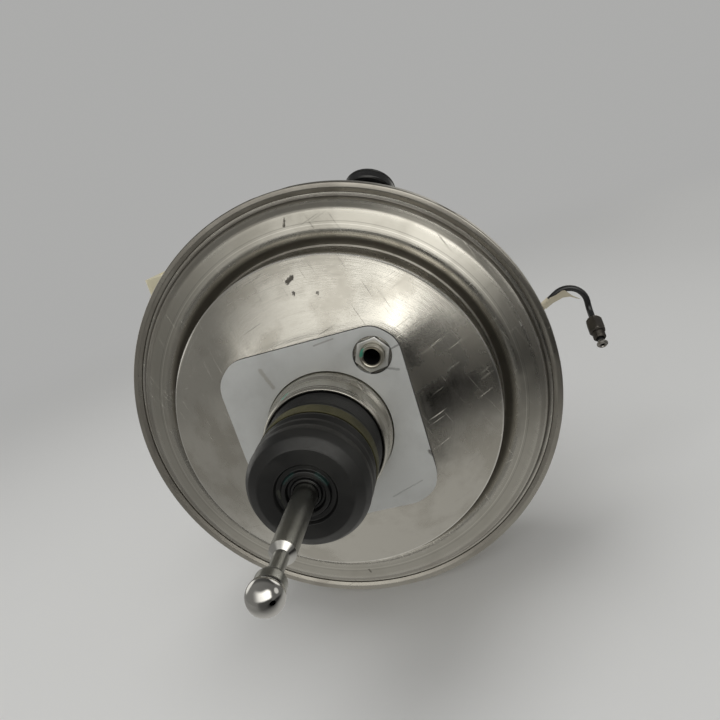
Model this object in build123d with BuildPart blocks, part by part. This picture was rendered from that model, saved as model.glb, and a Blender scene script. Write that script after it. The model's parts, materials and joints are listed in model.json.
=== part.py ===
"""Vacuum brake booster with its tandem master cylinder, fluid reservoir and outlet pipe.

Frame: +Y runs forward along the booster axis, +Z is up and +X is to the right seen from the pedal.
The origin is the centre of the mounting face that meets the bulkhead. All sizes are millimetres.
Radii and stations in the turned profiles are written (radius, y).
"""

from build123d import *
import math
import os

os.makedirs("parts", exist_ok=True)

# ---------------------------------------------------------------- driving dimensions
# clearances
SLIDE_GAP = 0.05  # radial gap of a sliding fit
FIT_GAP = 0.1  # radial gap of a part pushed home by hand
LOOSE_GAP = 0.3  # gap between pieces that pass each other

# rear shell, pedal side
SHEET = 2.0  # shell wall
GASKET_T = 3.0  # foam pad on the mounting face
PAD_MARGIN = 19.1  # pad beyond a tie rod's centre
PAD_CORNER = 24.0
EDGE_IN = 5.4  # sharp round edge of the dish, inside the step
EDGE_DROP = 20.0  # edge below the pad
STEP_IN = 9.3  # step inside the valley
STEP_DROP = 17.0  # height of the steep step wall
VALLEY_IN = 3.9  # valley inside the bead's crest
BEAD_H = 6.0
CREST_IN = 4.2  # bead's crest inside its foot
FOOT_IN = 9.1  # bead's foot inside the rolled lip
LIP_IN = 2.9  # rolled lip inside the flange
LIP_W = 5.4
FLANGE_R = 138.4  # clamped flange
RIM_Y = 48.5  # pedal-side face of the crimped rim
NECK_R = 36.0
NECK_STEP = 1.7  # thicker root of the neck
GASKET_IN = 2.0  # pad edge left bare round the gasket
GASKET_CUT = 14.0  # cut corners of the gasket
GASKET_ROUND = 22.0
NECK_LEN = 22.0  # neck beyond the mounting face
NECK_LIP = 0.4  # rolled-in end of the neck

# front shell
CURL_T = 1.8  # front shell wall
SKIRT_OUT = 4.2  # crimped skirt outside the flange
SKIRT_LEN = 12.5
WALL_IN = 8.6  # drum wall inside the skirt
FACE_Y = 118.0
SHOULDER_R = 24.0
HUB_FACE_Y = 130.0  # flat that carries the master cylinder
HUB_FACE_R = 70.0
HUB_RAMP = 12.0
SPIGOT_HOLE_R = 24.0
LANCE_COUNT = 8
LANCE_ARC = 6.5
LANCE_DEPTH = 1.2

# tie rods through the booster
STUD_OFFSET = 17.3  # tie rod's centre outside the neck's root
STUD_ANGLE = 45.0
ROD_R = 6.0
SLEEVE_R = 7.15
SLEEVE_OUT = 4.0  # sleeve beyond the mounting face
TAP_R = 4.75  # tapped bore for the bulkhead bolts
TAP_DEPTH = 20.0
STUD_R = 4.9
STUD_OUT = 28.0  # stud beyond the front shell
SLEEVE_NUT_AF = 19.0
SLEEVE_NUT_T = 2.6

# power piston
STROKE = 28.0
TUBE_R = 23.0  # outside of the valve body tube
TUBE_BORE = 19.5
TUBE_REAR = -36.0
HUB_R = 36.0
HUB_Y = 30.0
PLATE_T = 1.5
PLATE_SKIRT = 26.0
RIB_OUT = 10.5  # stiffening rib inside the plate's edge
RIB_FLAT = 6.0
RIB_RAMP = 4.0
RUBBER_T = 1.3
BEAD_W = 7.9  # diaphragm's outer bead, inside the flange's edge
ROLL_W = 33.0  # rolling fold between the plate and the bead
PLUNGER_R = 9.0
PLUNGER_Y = 18.8
REACTION_R = 13.8
REACTION_T = 5.0
REACTION_Y = 48.0
OUTPUT_R = 5.5
OUTPUT_TIP_Y = 118.0
MAIN_SPRING_R = 31.0
MAIN_WIRE = 3.8

# input rod
INPUT_R = 6.2
INPUT_SHOULDER_Y = -130.5
INPUT_NECK_R = 3.55
BALL_Y = -161.0
BALL_R = 8.05
SOCKET_Y = 25.0
SOCKET_BALL_R = 5.5
VALVE_TRAVEL = 1.5
BOOT_FACE_Y = -79.0
BOOT_R = 32.4

# master cylinder
MC_BORE_R = 11.1
MC_R = 21.0
MC_END_Y = 290.0
MC_BORE_END_Y = 280.0
MC_FLANGE_T = 12.0
MC_FLANGE_R = 27.0
MC_EAR_R = 11.5
MC_NUT_AF = 17.0
MC_NUT_T = 8.0
SPIGOT_LEN = 12.0
CUP_FLOOR_R = 8.2  # bottom of a piston's seal groove
PRIMARY_REAR_Y = 108.0
PRIMARY_STEP_Y = 124.0
PRIMARY_FRONT_Y = 166.0
PRIMARY_CUPS = (138.0, 156.0)
SECONDARY_REAR_Y = 200.0
SECONDARY_FRONT_Y = 238.0
SECONDARY_CUPS = (204.0, 211.0, 229.0)
CUP_T = 4.2
RETURN_SPRING_R = 8.0
RETURN_WIRE = 1.8
OUTLET_Y = 203.0
OUTLET_Z = -3.0
SECOND_OUTLET_Y = 268.0
PORT_R = 5.1
PORT_DEPTH = 12.0
BOSS_R = 9.5
BOSS_X = 27.0
FEED_Y = (172.0, 244.0)
FEED_BOSS_R = 13.0
FEED_TOP_Z = 30.0
FEED_SOCKET_R = 10.0
FEED_SOCKET_DEPTH = 11.0
DRILLING_R = 1.5
LUG_Y = 208.0
LUG_HALF = 5.0
PIN_R = 2.5
PIN_Z = 34.0

# outlet pipe: it dips, rises to an arch and ends in a leg that leans back
PIPE_R = 2.5
PIPE_BORE = 1.6
DIP_START_X = 96.0
DIP_X = 128.0
DIP_Z = -26.0
ARCH_X = 185.0
ARCH_Z = 8.2
KNEE_Z = -26.0
PIPE_BEND = 14.0
ARCH_BEND = 15.3
KNEE_BEND = 10.0
LEG_LEAN = 53.0  # end leg, from straight down
LEG_LEN = 38.0
FLARE_R = 4.4
FLARE_T = 3.8
NUT_AF = 12.0
NUT_HEX_LEN = 14.0
NUT_THREAD_R = 5.0
NUT_THREAD_LEN = 6.5
NUT_GAP = 3.0  # nut standing off the flare
PORT_NUT_HEX = 9.0
TAPE_START = 21.0  # tape's start beyond the dip
TAPE_LEN = 14.0
TAPE_T = 0.5
TAPE_FLAP = (
    (149.7, -12.7),
    (156.9, -6.6),
    (162.0, -5.9),
    (167.5, -3.7),
    (169.8, -3.9),
    (174.2, -9.6),
    (180.3, -14.8),
    (178.1, -13.8),
    (172.4, -10.3),
    (166.9, -9.5),
    (158.2, -11.8),
    (151.6, -15.1),
)

# reservoir
TANK_WALL = 2.2
TANK_TOP_Z = 109.5
TANK_LEFT_X = -149.0
TANK_RIGHT_X = 44.0
TANK_REAR_Y = 148.0
TANK_FRONT_Y = 262.0
TANK_CORNER = 8.0
WELL_HALF_X = 38.0
WELL_REAR_Y = 156.0
WELL_FLOOR_Z = 47.0
WING_FLOOR_Z = 74.0
FILLER_X = -48.0
FILLER_Y = 208.0
FILLER_R = 18.0
FILLER_TOP_Z = 123.0
CAP_R = 22.5
CAP_TOP_Z = 133.0
CAP_NOTCHES = 12
NIPPLE_R = 7.0
NIPPLE_BORE = 4.5
NIPPLE_END_Z = 20.0
FLOAT_X = 21.0
FLOAT_R = 13.0
FLOAT_T = 14.0
FLOAT_RISE = 24.0
COLUMN_R = 5.0
COLUMN_TOP_Z = 92.0

# check valve on the front shell shoulder
CHECK_ANGLE = 67.3
CHECK_TILT = 40.0
CHECK_BOSS_R = 17.0
CHECK_HOLE_R = 10.5
CHECK_SPIGOT_R = 6.5
CHECK_BODY_R = 17.8
CHECK_BODY_T = 9.0
CHECK_STAND = 6.0  # body above the shell
CHECK_CHAMBER_R = 9.0
CHECK_COVER_T = 3.0
CHECK_DISC_T = 1.6
BARB_TURN = 225.0  # hose barb direction round the valve's axis
BARB_R = 5.2
BARB_BORE = 3.4
BARB_LEN = 40.0

# ---------------------------------------------------------------- derived stations
PAD_Y = GASKET_T
EDGE_Y = PAD_Y + EDGE_DROP
STEP_Y = EDGE_Y + STEP_DROP
LIP_R = FLANGE_R - LIP_IN
FOOT_R = LIP_R - FOOT_IN
BEAD_R = FOOT_R - CREST_IN
VALLEY_R = BEAD_R - VALLEY_IN
STEP_R = VALLEY_R - STEP_IN
EDGE_R = STEP_R - EDGE_IN
SKIRT_R = FLANGE_R + SKIRT_OUT
WALL_R = SKIRT_R - WALL_IN
BEAD_INNER_R = FLANGE_R - BEAD_W
PLATE_R = BEAD_INNER_R - ROLL_W
NECK_BORE = NECK_R - SHEET
NECK_STEP_R = NECK_R + NECK_STEP
CURL_IN = RIM_Y + CURL_T
FLANGE_Y = CURL_IN + 0.2
VALLEY_Y = FLANGE_Y - 5.5
SKIRT_END_Y = RIM_Y + SKIRT_LEN
STUD_R_POS = NECK_STEP_R + STUD_OFFSET
STUDS = [
    (
        STUD_R_POS * math.cos(math.radians(STUD_ANGLE + turn)),
        STUD_R_POS * math.sin(math.radians(STUD_ANGLE + turn)),
    )
    for turn in (0, 180)
]
PAD_HALF = STUD_R_POS * math.cos(math.radians(STUD_ANGLE)) + PAD_MARGIN
MC_FACE_Y = HUB_FACE_Y
MC_FRONT_FLANGE_Y = MC_FACE_Y + MC_FLANGE_T
PLUNGER_END_Y = REACTION_Y - VALVE_TRAVEL - 0.2
MAIN_SEAT_Y = HUB_Y + 5.4


# ---------------------------------------------------------------- shared helpers
def across(y):
    """Plane across the booster axis at station y, with local x = X and local y = Z."""
    return Plane.XZ.offset(-y)


def stud_plane(stud):
    """Plane for a turned profile about one tie rod's own axis."""
    return Plane(origin=(stud[0], 0, stud[1]), x_dir=(1, 0, 0), z_dir=(0, 0, 1))


def band(r_in, r_out, y_rear, y_front, mode=Mode.ADD):
    """Rectangle of a turned profile between two radii and two stations."""
    with Locations(((r_in + r_out) / 2, (y_rear + y_front) / 2)):
        Rectangle(r_out - r_in, y_front - y_rear, mode=mode)


def turned(*points):
    """Closed straight-sided profile to be turned."""
    with BuildLine() as outline:
        Polyline(*points, close=True)
    make_face(outline.edges())


def formed_sheet(points, radii, thickness):
    """Pressed-sheet profile: a filleted outline with its wall on the left of the path."""
    with BuildLine() as outline:
        FilletPolyline(*points, radius=radii)
        offset(amount=thickness, side=Side.LEFT)
    make_face(outline.edges())


def coil_spring(base, mean_r, wire, length, turns):
    """Round-wire compression spring that stands on the plane base."""
    with BuildPart() as spring:
        with BuildLine() as path:
            Helix(
                pitch=(length - wire) / turns,
                height=length - wire,
                radius=mean_r,
                center=base.origin + base.z_dir * wire / 2,
                direction=base.z_dir,
            )
        with BuildSketch(Plane(origin=path.line @ 0, z_dir=path.line % 0)):
            Circle(wire / 2)
        sweep(is_frenet=True)
    return spring


def forward_plane(y):
    """Plane across the axis whose normal points forward."""
    return Plane(origin=(0, y, 0), x_dir=(1, 0, 0), z_dir=(0, 1, 0))


def keep(part, name):
    """Label a finished piece and write its file."""
    part.label = name
    export_step(part, "parts/" + name + ".step")


# ================================================================ booster casing
with BuildPart() as rear_shell:
    # spun ring: step wall, valley, stiffening bead, rolled lip and clamped flange
    with BuildSketch():
        formed_sheet(
            [
                (EDGE_R, EDGE_Y),
                (EDGE_R, EDGE_Y + 2),
                (STEP_R, STEP_Y),
                (VALLEY_R, VALLEY_Y),
                (BEAD_R, VALLEY_Y - BEAD_H),
                (FOOT_R, VALLEY_Y + 0.8),
                (LIP_R - LIP_W, RIM_Y - 10.5),
                (LIP_R, RIM_Y - 10.5),
                (LIP_R, FLANGE_Y),
                (FLANGE_R, FLANGE_Y),
            ],
            [0.8, 3.5, 1.6, 2.4, 1.6, 2.4, 2.4, 0.6],
            SHEET,
        )
    revolve(axis=Axis.Y)
    # drawn dish that runs from the round edge to the square pad
    with BuildSketch(across(PAD_Y)):
        RectangleRounded(2 * PAD_HALF, 2 * PAD_HALF, PAD_CORNER)
    with BuildSketch(across(EDGE_Y)):
        Circle(EDGE_R)
    loft()
    with BuildSketch(across(PAD_Y + SHEET)):
        RectangleRounded(2 * (PAD_HALF - 1), 2 * (PAD_HALF - 1), PAD_CORNER - 1)
    with BuildSketch(across(EDGE_Y)):
        Circle(EDGE_R - SHEET)
    loft(mode=Mode.SUBTRACT)
    # neck that pilots in the bulkhead
    with BuildSketch():
        turned(
            (NECK_BORE, PAD_Y + SHEET),
            (NECK_STEP_R, PAD_Y + SHEET),
            (NECK_STEP_R, -5.0),
            (NECK_R, -7.5),
            (NECK_R, 1.8 - NECK_LEN),
            (NECK_R - 0.8, 0.4 - NECK_LEN),
            (NECK_BORE + 0.3, -NECK_LEN),
            (NECK_BORE - NECK_LIP, 0.9 - NECK_LEN),
            (NECK_BORE - NECK_LIP, 1.9 - NECK_LEN),
            (NECK_BORE, 2.3 - NECK_LEN),
        )
    revolve(axis=Axis.Y)
    with BuildSketch(across(-NECK_LEN + 2.3)):
        Circle(NECK_BORE)
    extrude(amount=-(NECK_LEN + PAD_Y + SHEET + 1), mode=Mode.SUBTRACT)
    with BuildSketch(across(PAD_Y)):
        with Locations(*STUDS):
            Circle(SLEEVE_R + FIT_GAP)
    extrude(amount=-3 * SHEET, mode=Mode.SUBTRACT)
keep(rear_shell.part, "rear_shell")

CHECK_RADIAL = Vector(math.cos(math.radians(CHECK_ANGLE)), 0, math.sin(math.radians(CHECK_ANGLE)))
CHECK_AXIS = CHECK_RADIAL * math.sin(math.radians(CHECK_TILT)) + Vector(0, 1, 0) * math.cos(math.radians(CHECK_TILT))
CHECK_SIDE = Vector(-math.sin(math.radians(CHECK_ANGLE)), 0, math.cos(math.radians(CHECK_ANGLE)))
CHECK_SEAT = (
    CHECK_RADIAL * (WALL_R - SHOULDER_R)
    + Vector(0, FACE_Y - SHOULDER_R, 0)
    + CHECK_AXIS * SHOULDER_R
)


def check_plane(height):
    """Plane across the check valve's axis, this high above the shell."""
    return Plane(origin=CHECK_SEAT + CHECK_AXIS * height, x_dir=CHECK_SIDE, z_dir=CHECK_AXIS)


CHECK_PROFILE = Plane(origin=CHECK_SEAT, x_dir=CHECK_SIDE, z_dir=CHECK_SIDE.cross(CHECK_AXIS))
CHECK_LINE = Axis(CHECK_SEAT, CHECK_AXIS)

with BuildPart() as front_shell:
    with BuildSketch():
        formed_sheet(
            [
                (FLANGE_R - 1.0, RIM_Y),
                (SKIRT_R, RIM_Y),
                (SKIRT_R, SKIRT_END_Y),
                (WALL_R, SKIRT_END_Y + 0.8),
                (WALL_R, FACE_Y),
                (HUB_FACE_R + HUB_RAMP, FACE_Y),
                (HUB_FACE_R, HUB_FACE_Y),
                (SPIGOT_HOLE_R, HUB_FACE_Y),
                (SPIGOT_HOLE_R, HUB_FACE_Y - 9.0),
            ],
            [2.2, 2.4, 2.0, SHOULDER_R, 7.0, 7.0, 2.6],
            CURL_T,
        )
    revolve(axis=Axis.Y)
    # lances pressed into the skirt hold the shells together
    for turn in range(LANCE_COUNT):
        lance = Plane.XY.rotated((0, turn * 360 / LANCE_COUNT - LANCE_ARC / 2, 0))
        with BuildSketch(lance):
            band(SKIRT_R - LANCE_DEPTH, SKIRT_R + 1, RIM_Y - 1, SKIRT_END_Y + 1)
        revolve(axis=Axis.Y, revolution_arc=LANCE_ARC, mode=Mode.SUBTRACT)
        with BuildSketch(lance):
            band(SKIRT_R - LANCE_DEPTH - CURL_T, SKIRT_R - LANCE_DEPTH, RIM_Y + 1, SKIRT_END_Y - 1)
        revolve(axis=Axis.Y, revolution_arc=LANCE_ARC)
    # flat boss for the check valve
    with BuildSketch(check_plane(1.0)):
        Circle(CHECK_BOSS_R)
    extrude(amount=-5.0)
    with BuildSketch(check_plane(2.0)):
        Circle(CHECK_HOLE_R)
    extrude(amount=-12.0, mode=Mode.SUBTRACT)
    with BuildSketch(across(HUB_FACE_Y + 1)):
        with Locations(*STUDS):
            Circle(STUD_R + LOOSE_GAP)
    extrude(amount=3 * CURL_T, mode=Mode.SUBTRACT)
keep(front_shell.part, "front_shell")

with BuildPart() as mount_gasket:
    with BuildSketch(across(0)) as pad_outline:
        Rectangle(2 * (PAD_HALF - GASKET_IN), 2 * (PAD_HALF - GASKET_IN))
        chamfer(pad_outline.vertices().filter_by(lambda v: v.X * v.Y < 0), length=GASKET_CUT)
        fillet(
            pad_outline.vertices().filter_by(lambda v: v.X * v.Y > 0 and abs(v.X - v.Y) < 1),
            radius=GASKET_ROUND,
        )
        fillet(pad_outline.vertices().filter_by(lambda v: v.X * v.Y < 0), radius=9)
        Circle(NECK_STEP_R + LOOSE_GAP, mode=Mode.SUBTRACT)
        with Locations(*STUDS):
            Circle(SLEEVE_NUT_AF / 2 + 3.0, mode=Mode.SUBTRACT)
    extrude(amount=-GASKET_T)
keep(mount_gasket.part, "mount_gasket")

# ================================================================ tie rods
with BuildPart() as tie_rods:
    for stud in STUDS:
        with BuildSketch(stud_plane(stud)):
            band(0, SLEEVE_R, -SLEEVE_OUT, PAD_Y + SHEET)
            band(0, SLEEVE_R + 2.6, PAD_Y + SHEET, PAD_Y + SHEET + 4)
            band(0, ROD_R, PAD_Y + SHEET + 4, HUB_FACE_Y - CURL_T)
            band(0, ROD_R + 3.4, HUB_FACE_Y - CURL_T - 4, HUB_FACE_Y - CURL_T)
            band(0, STUD_R, HUB_FACE_Y - CURL_T, HUB_FACE_Y + STUD_OUT)
            band(0, TAP_R, -SLEEVE_OUT, TAP_DEPTH - SLEEVE_OUT, mode=Mode.SUBTRACT)
        revolve(axis=Axis((stud[0], 0, stud[1]), (0, 1, 0)))
    chamfer(tie_rods.faces().sort_by(Axis.Y)[-2:].edges(), length=0.8)
keep(tie_rods.part, "tie_rods")

with BuildPart() as sleeve_nuts:
    with BuildSketch(across(PAD_Y)):
        with Locations(*STUDS):
            RegularPolygon(radius=SLEEVE_NUT_AF / 2, side_count=6, major_radius=False)
            Circle(SLEEVE_R + FIT_GAP, mode=Mode.SUBTRACT)
    extrude(amount=SLEEVE_NUT_T)
keep(sleeve_nuts.part, "sleeve_nuts")

# ================================================================ neck
with BuildPart() as guide_ring:
    with BuildSketch():
        turned(
            (TUBE_R + SLIDE_GAP, -1.0),
            (NECK_BORE - FIT_GAP, -1.0),
            (NECK_BORE - FIT_GAP, PAD_Y + SHEET),
            (NECK_BORE + 6.0, PAD_Y + SHEET),
            (NECK_BORE + 6.0, PAD_Y + SHEET + 2.4),
            (TUBE_R + SLIDE_GAP, PAD_Y + SHEET + 2.4),
        )
    revolve(axis=Axis.Y)
keep(guide_ring.part, "guide_ring")

with BuildPart() as neck_seal:
    with BuildSketch():
        turned(
            (TUBE_R + 2.6, -1.0),
            (NECK_BORE - FIT_GAP, -1.0),
            (NECK_BORE - FIT_GAP, -8.0),
            (TUBE_R + 5.2, -8.0),
            (TUBE_R + 5.2, -4.2),
            (TUBE_R + 2.2, -4.2),
            (TUBE_R + 1.4, -8.0),
            (TUBE_R + SLIDE_GAP, -7.4),
            (TUBE_R + SLIDE_GAP, -5.6),
            (TUBE_R + 0.9, -3.6),
        )
    revolve(axis=Axis.Y)
keep(neck_seal.part, "neck_seal")

with BuildPart() as seal_retainer:
    with BuildSketch():
        band(TUBE_R + 3.2, NECK_BORE - FIT_GAP, -9.4, -8.0)
    revolve(axis=Axis.Y)
keep(seal_retainer.part, "seal_retainer")

# ================================================================ power piston
with BuildPart() as valve_body:
    with BuildSketch():
        turned(
            (TUBE_BORE, TUBE_REAR),
            (TUBE_R, TUBE_REAR),
            (TUBE_R, 22.0),
            (HUB_R - 5, HUB_Y - 3.0),
            (HUB_R - 5, HUB_Y - 0.2),
            (HUB_R, HUB_Y - 0.2),
            (HUB_R, HUB_Y + 3.4),
            (HUB_R - 2, MAIN_SEAT_Y),
            (MAIN_SPRING_R - 3, MAIN_SEAT_Y),
            (17.5, HUB_Y + 9.0),
            (17.5, REACTION_Y + REACTION_T + 5.5),
            (REACTION_R + FIT_GAP, REACTION_Y + REACTION_T + 5.5),
            (REACTION_R + FIT_GAP, REACTION_Y),
            (PLUNGER_R + SLIDE_GAP, REACTION_Y),
            (PLUNGER_R + SLIDE_GAP, PLUNGER_Y + 4.8),
            (12.4, PLUNGER_Y + 4.8),
            (12.4, PLUNGER_Y + 0.5),
            (14.0, PLUNGER_Y + 0.5),
            (14.0, PLUNGER_Y + 3.0),
            (17.4, PLUNGER_Y + 3.0),
            (17.4, 10.8),
            (TUBE_BORE, 10.8),
        )
    revolve(axis=Axis.Y)
    # cross slot for the plunger key
    with Locations((0, 37.0, -HUB_R / 2 - 3)):
        Box(9.2, 2.2, HUB_R + 6, mode=Mode.SUBTRACT)
keep(valve_body.part, "valve_body")

RIB_R = PLATE_R - RIB_OUT
with BuildPart() as support_plate:
    with BuildSketch():
        formed_sheet(
            [
                (HUB_R + FIT_GAP, HUB_Y),
                (RIB_R - RIB_FLAT - 2 * RIB_RAMP, HUB_Y),
                (RIB_R - RIB_FLAT - RIB_RAMP, HUB_Y + 3.0),
                (RIB_R - RIB_RAMP, HUB_Y + 3.0),
                (RIB_R, HUB_Y),
                (PLATE_R, HUB_Y),
                (PLATE_R, HUB_Y + PLATE_SKIRT),
            ],
            [3.0, 3.0, 3.0, 3.0, 5.0],
            PLATE_T,
        )
    revolve(axis=Axis.Y)
    with BuildSketch(across(HUB_Y + 12)):
        with Locations(*STUDS):
            Circle(ROD_R + 5.0)
    extrude(amount=24, mode=Mode.SUBTRACT)
keep(support_plate.part, "support_plate")

DIAPHRAGM_Y = HUB_Y - LOOSE_GAP - RUBBER_T
with BuildPart() as diaphragm:
    with BuildSketch():
        formed_sheet(
            [
                (HUB_R - 4.6, DIAPHRAGM_Y),
                (PLATE_R + LOOSE_GAP + RUBBER_T, DIAPHRAGM_Y),
                (PLATE_R + LOOSE_GAP + RUBBER_T, HUB_Y + PLATE_SKIRT + 9),
                (BEAD_INNER_R - 11.5, HUB_Y + PLATE_SKIRT + 12),
                (BEAD_INNER_R - 3.5, HUB_Y + PLATE_SKIRT + 3),
                (BEAD_INNER_R + 1, HUB_Y + PLATE_SKIRT),
            ],
            [6.0, 6.0, 4.0, 3.0],
            RUBBER_T,
        )
        with BuildLine():
            bead_low = FLANGE_Y + SHEET + 0.1
            bead_high = SKIRT_END_Y - CURL_T - 0.1
            Polyline(
                (BEAD_INNER_R, bead_low + 1.2),
                (BEAD_INNER_R + 1.2, bead_low),
                (FLANGE_R - 0.5, bead_low),
                (FLANGE_R + 0.5, bead_low + 1.2),
                (FLANGE_R + 0.5, bead_high - 0.8),
                (FLANGE_R - 0.5, bead_high),
                (BEAD_INNER_R + 1.2, bead_high),
                (BEAD_INNER_R, bead_high - 1.2),
                close=True,
            )
        make_face()
    revolve(axis=Axis.Y)
    with BuildSketch(across(HUB_Y + 12)):
        with Locations(*STUDS):
            Circle(ROD_R + 5.0)
    extrude(amount=24, mode=Mode.SUBTRACT)
keep(diaphragm.part, "diaphragm")

with BuildPart() as tie_rod_seals:
    for stud in STUDS:
        with BuildSketch(stud_plane(stud)):
            turned(
                (ROD_R + SLIDE_GAP, HUB_Y - 5.0),
                (ROD_R + 7.5, HUB_Y - 5.0),
                (ROD_R + 7.5, DIAPHRAGM_Y - 0.1),
                (ROD_R + 4.8, DIAPHRAGM_Y - 0.1),
                (ROD_R + 4.8, HUB_Y + PLATE_T + 0.1),
                (ROD_R + 6.6, HUB_Y + PLATE_T + 0.1),
                (ROD_R + 4.2, HUB_Y + PLATE_T + 5.0),
                (ROD_R + SLIDE_GAP, HUB_Y + PLATE_T + 5.0),
            )
        revolve(axis=Axis((stud[0], 0, stud[1]), (0, 1, 0)))
keep(tie_rod_seals.part, "tie_rod_seals")

with BuildPart() as plunger_key:
    with BuildSketch(across(36.0)):
        with Locations((0, -HUB_R / 2 - 1)):
            Rectangle(9.0, HUB_R - 6)
        with Locations((0, -6.0)):
            Circle(6.1, mode=Mode.SUBTRACT)
            Rectangle(12.2, 6.0, mode=Mode.SUBTRACT)
    extrude(amount=-2.0)
keep(plunger_key.part, "plunger_key")

with BuildPart() as reaction_disc:
    with BuildSketch():
        band(0, REACTION_R, REACTION_Y, REACTION_Y + REACTION_T)
    revolve(axis=Axis.Y)
keep(reaction_disc.part, "reaction_disc")

with BuildPart() as output_rod:
    head_y = REACTION_Y + REACTION_T
    with BuildSketch():
        turned(
            (0, head_y),
            (REACTION_R, head_y),
            (REACTION_R, head_y + 5.0),
            (OUTPUT_R + 1.5, head_y + 7.0),
            (OUTPUT_R, head_y + 12.0),
            (OUTPUT_R, OUTPUT_TIP_Y - 3.0),
            (OUTPUT_R - 2.2, OUTPUT_TIP_Y - 0.5),
            (0, OUTPUT_TIP_Y),
        )
    revolve(axis=Axis.Y)
keep(output_rod.part, "output_rod")

with BuildPart() as output_retainer:
    cup_y = REACTION_Y + REACTION_T + 5.5
    with BuildSketch():
        turned(
            (17.6, cup_y - 8.0),
            (18.6, cup_y - 8.0),
            (18.6, cup_y + 1.2),
            (OUTPUT_R + 6.0, cup_y + 1.2),
            (OUTPUT_R + 6.0, cup_y + 0.2),
            (17.6, cup_y + 0.2),
        )
    revolve(axis=Axis.Y)
keep(output_retainer.part, "output_retainer")

# ================================================================ control valve and input rod
with BuildPart() as valve_plunger:
    with BuildSketch():
        turned(
            (0, PLUNGER_Y),
            (11.4, PLUNGER_Y),
            (11.4, PLUNGER_Y + 2.4),
            (PLUNGER_R, PLUNGER_Y + 2.4),
            (PLUNGER_R, 34.4),
            (6.0, 34.4),
            (6.0, 38.4),
            (PLUNGER_R, 38.4),
            (PLUNGER_R, PLUNGER_END_Y),
            (0, PLUNGER_END_Y),
        )
    revolve(axis=Axis.Y)
    with Locations((0, SOCKET_Y, 0)):
        Sphere(SOCKET_BALL_R + SLIDE_GAP, mode=Mode.SUBTRACT)
    with BuildSketch(across(PLUNGER_Y)):
        Circle(SOCKET_BALL_R - 0.6)
    extrude(amount=-(SOCKET_Y - PLUNGER_Y), mode=Mode.SUBTRACT)
keep(valve_plunger.part, "valve_plunger")

with BuildPart() as input_rod:
    with BuildSketch():
        turned(
            (0, BALL_Y - 1),
            (BALL_R * 0.86, BALL_Y - 1),
            (BALL_R * 0.86, BALL_Y + 9.6),
            (BALL_R * 0.86 - 1.2, BALL_Y + 12.0),
            (INPUT_NECK_R, BALL_Y + 14.2),
            (INPUT_NECK_R, INPUT_SHOULDER_Y - 2.4),
            (INPUT_R, INPUT_SHOULDER_Y),
            (INPUT_R, -29.0),
            (8.0, -29.0),
            (8.0, -27.0),
            (INPUT_R, -27.0),
            (INPUT_R, -23.0),
            (5.0, -20.0),
            (5.0, 14.0),
            (3.4, 16.5),
            (3.4, SOCKET_Y),
            (0, SOCKET_Y),
        )
    revolve(axis=Axis.Y)
    with Locations((0, BALL_Y, 0)):
        Sphere(BALL_R)
    with Locations((0, SOCKET_Y, 0)):
        Sphere(SOCKET_BALL_R)
keep(input_rod.part, "input_rod")

with BuildPart() as spring_seat:
    with BuildSketch():
        turned(
            (INPUT_R + FIT_GAP, -27.0),
            (16.0, -27.0),
            (16.0, -23.0),
            (15.0, -23.0),
            (15.0, -26.0),
            (INPUT_R + FIT_GAP, -26.0),
        )
    revolve(axis=Axis.Y)
keep(spring_seat.part, "spring_seat")

with BuildPart() as poppet_retainer:
    with BuildSketch():
        turned(
            (9.5, 6.6),
            (18.2, 6.6),
            (18.2, -2.0),
            (TUBE_BORE - FIT_GAP, -2.0),
            (TUBE_BORE - FIT_GAP, 7.7),
            (9.5, 7.7),
        )
    revolve(axis=Axis.Y)
keep(poppet_retainer.part, "poppet_retainer")

with BuildPart() as poppet:
    with BuildSketch():
        turned(
            (6.9, PLUNGER_Y - 0.3),
            (6.9, PLUNGER_Y - 2.4),
            (12.6, PLUNGER_Y - 2.4),
            (12.6, 10.6),
            (16.8, 10.6),
            (16.8, 7.9),
            (TUBE_BORE - 0.2, 7.9),
            (TUBE_BORE - 0.2, 10.6),
            (17.2, 10.6),
            (17.0, 12.2),
            (14.2, 12.2),
            (14.2, PLUNGER_Y - 2.0),
            (15.6, PLUNGER_Y - 1.6),
            (15.6, PLUNGER_Y - 0.3),
        )
    revolve(axis=Axis.Y)
keep(poppet.part, "poppet")

with BuildPart() as air_filter:
    with BuildSketch():
        band(11.4, TUBE_BORE - FIT_GAP, TUBE_REAR + 0.4, TUBE_REAR + 6.0)
    revolve(axis=Axis.Y)
keep(air_filter.part, "air_filter")

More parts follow.
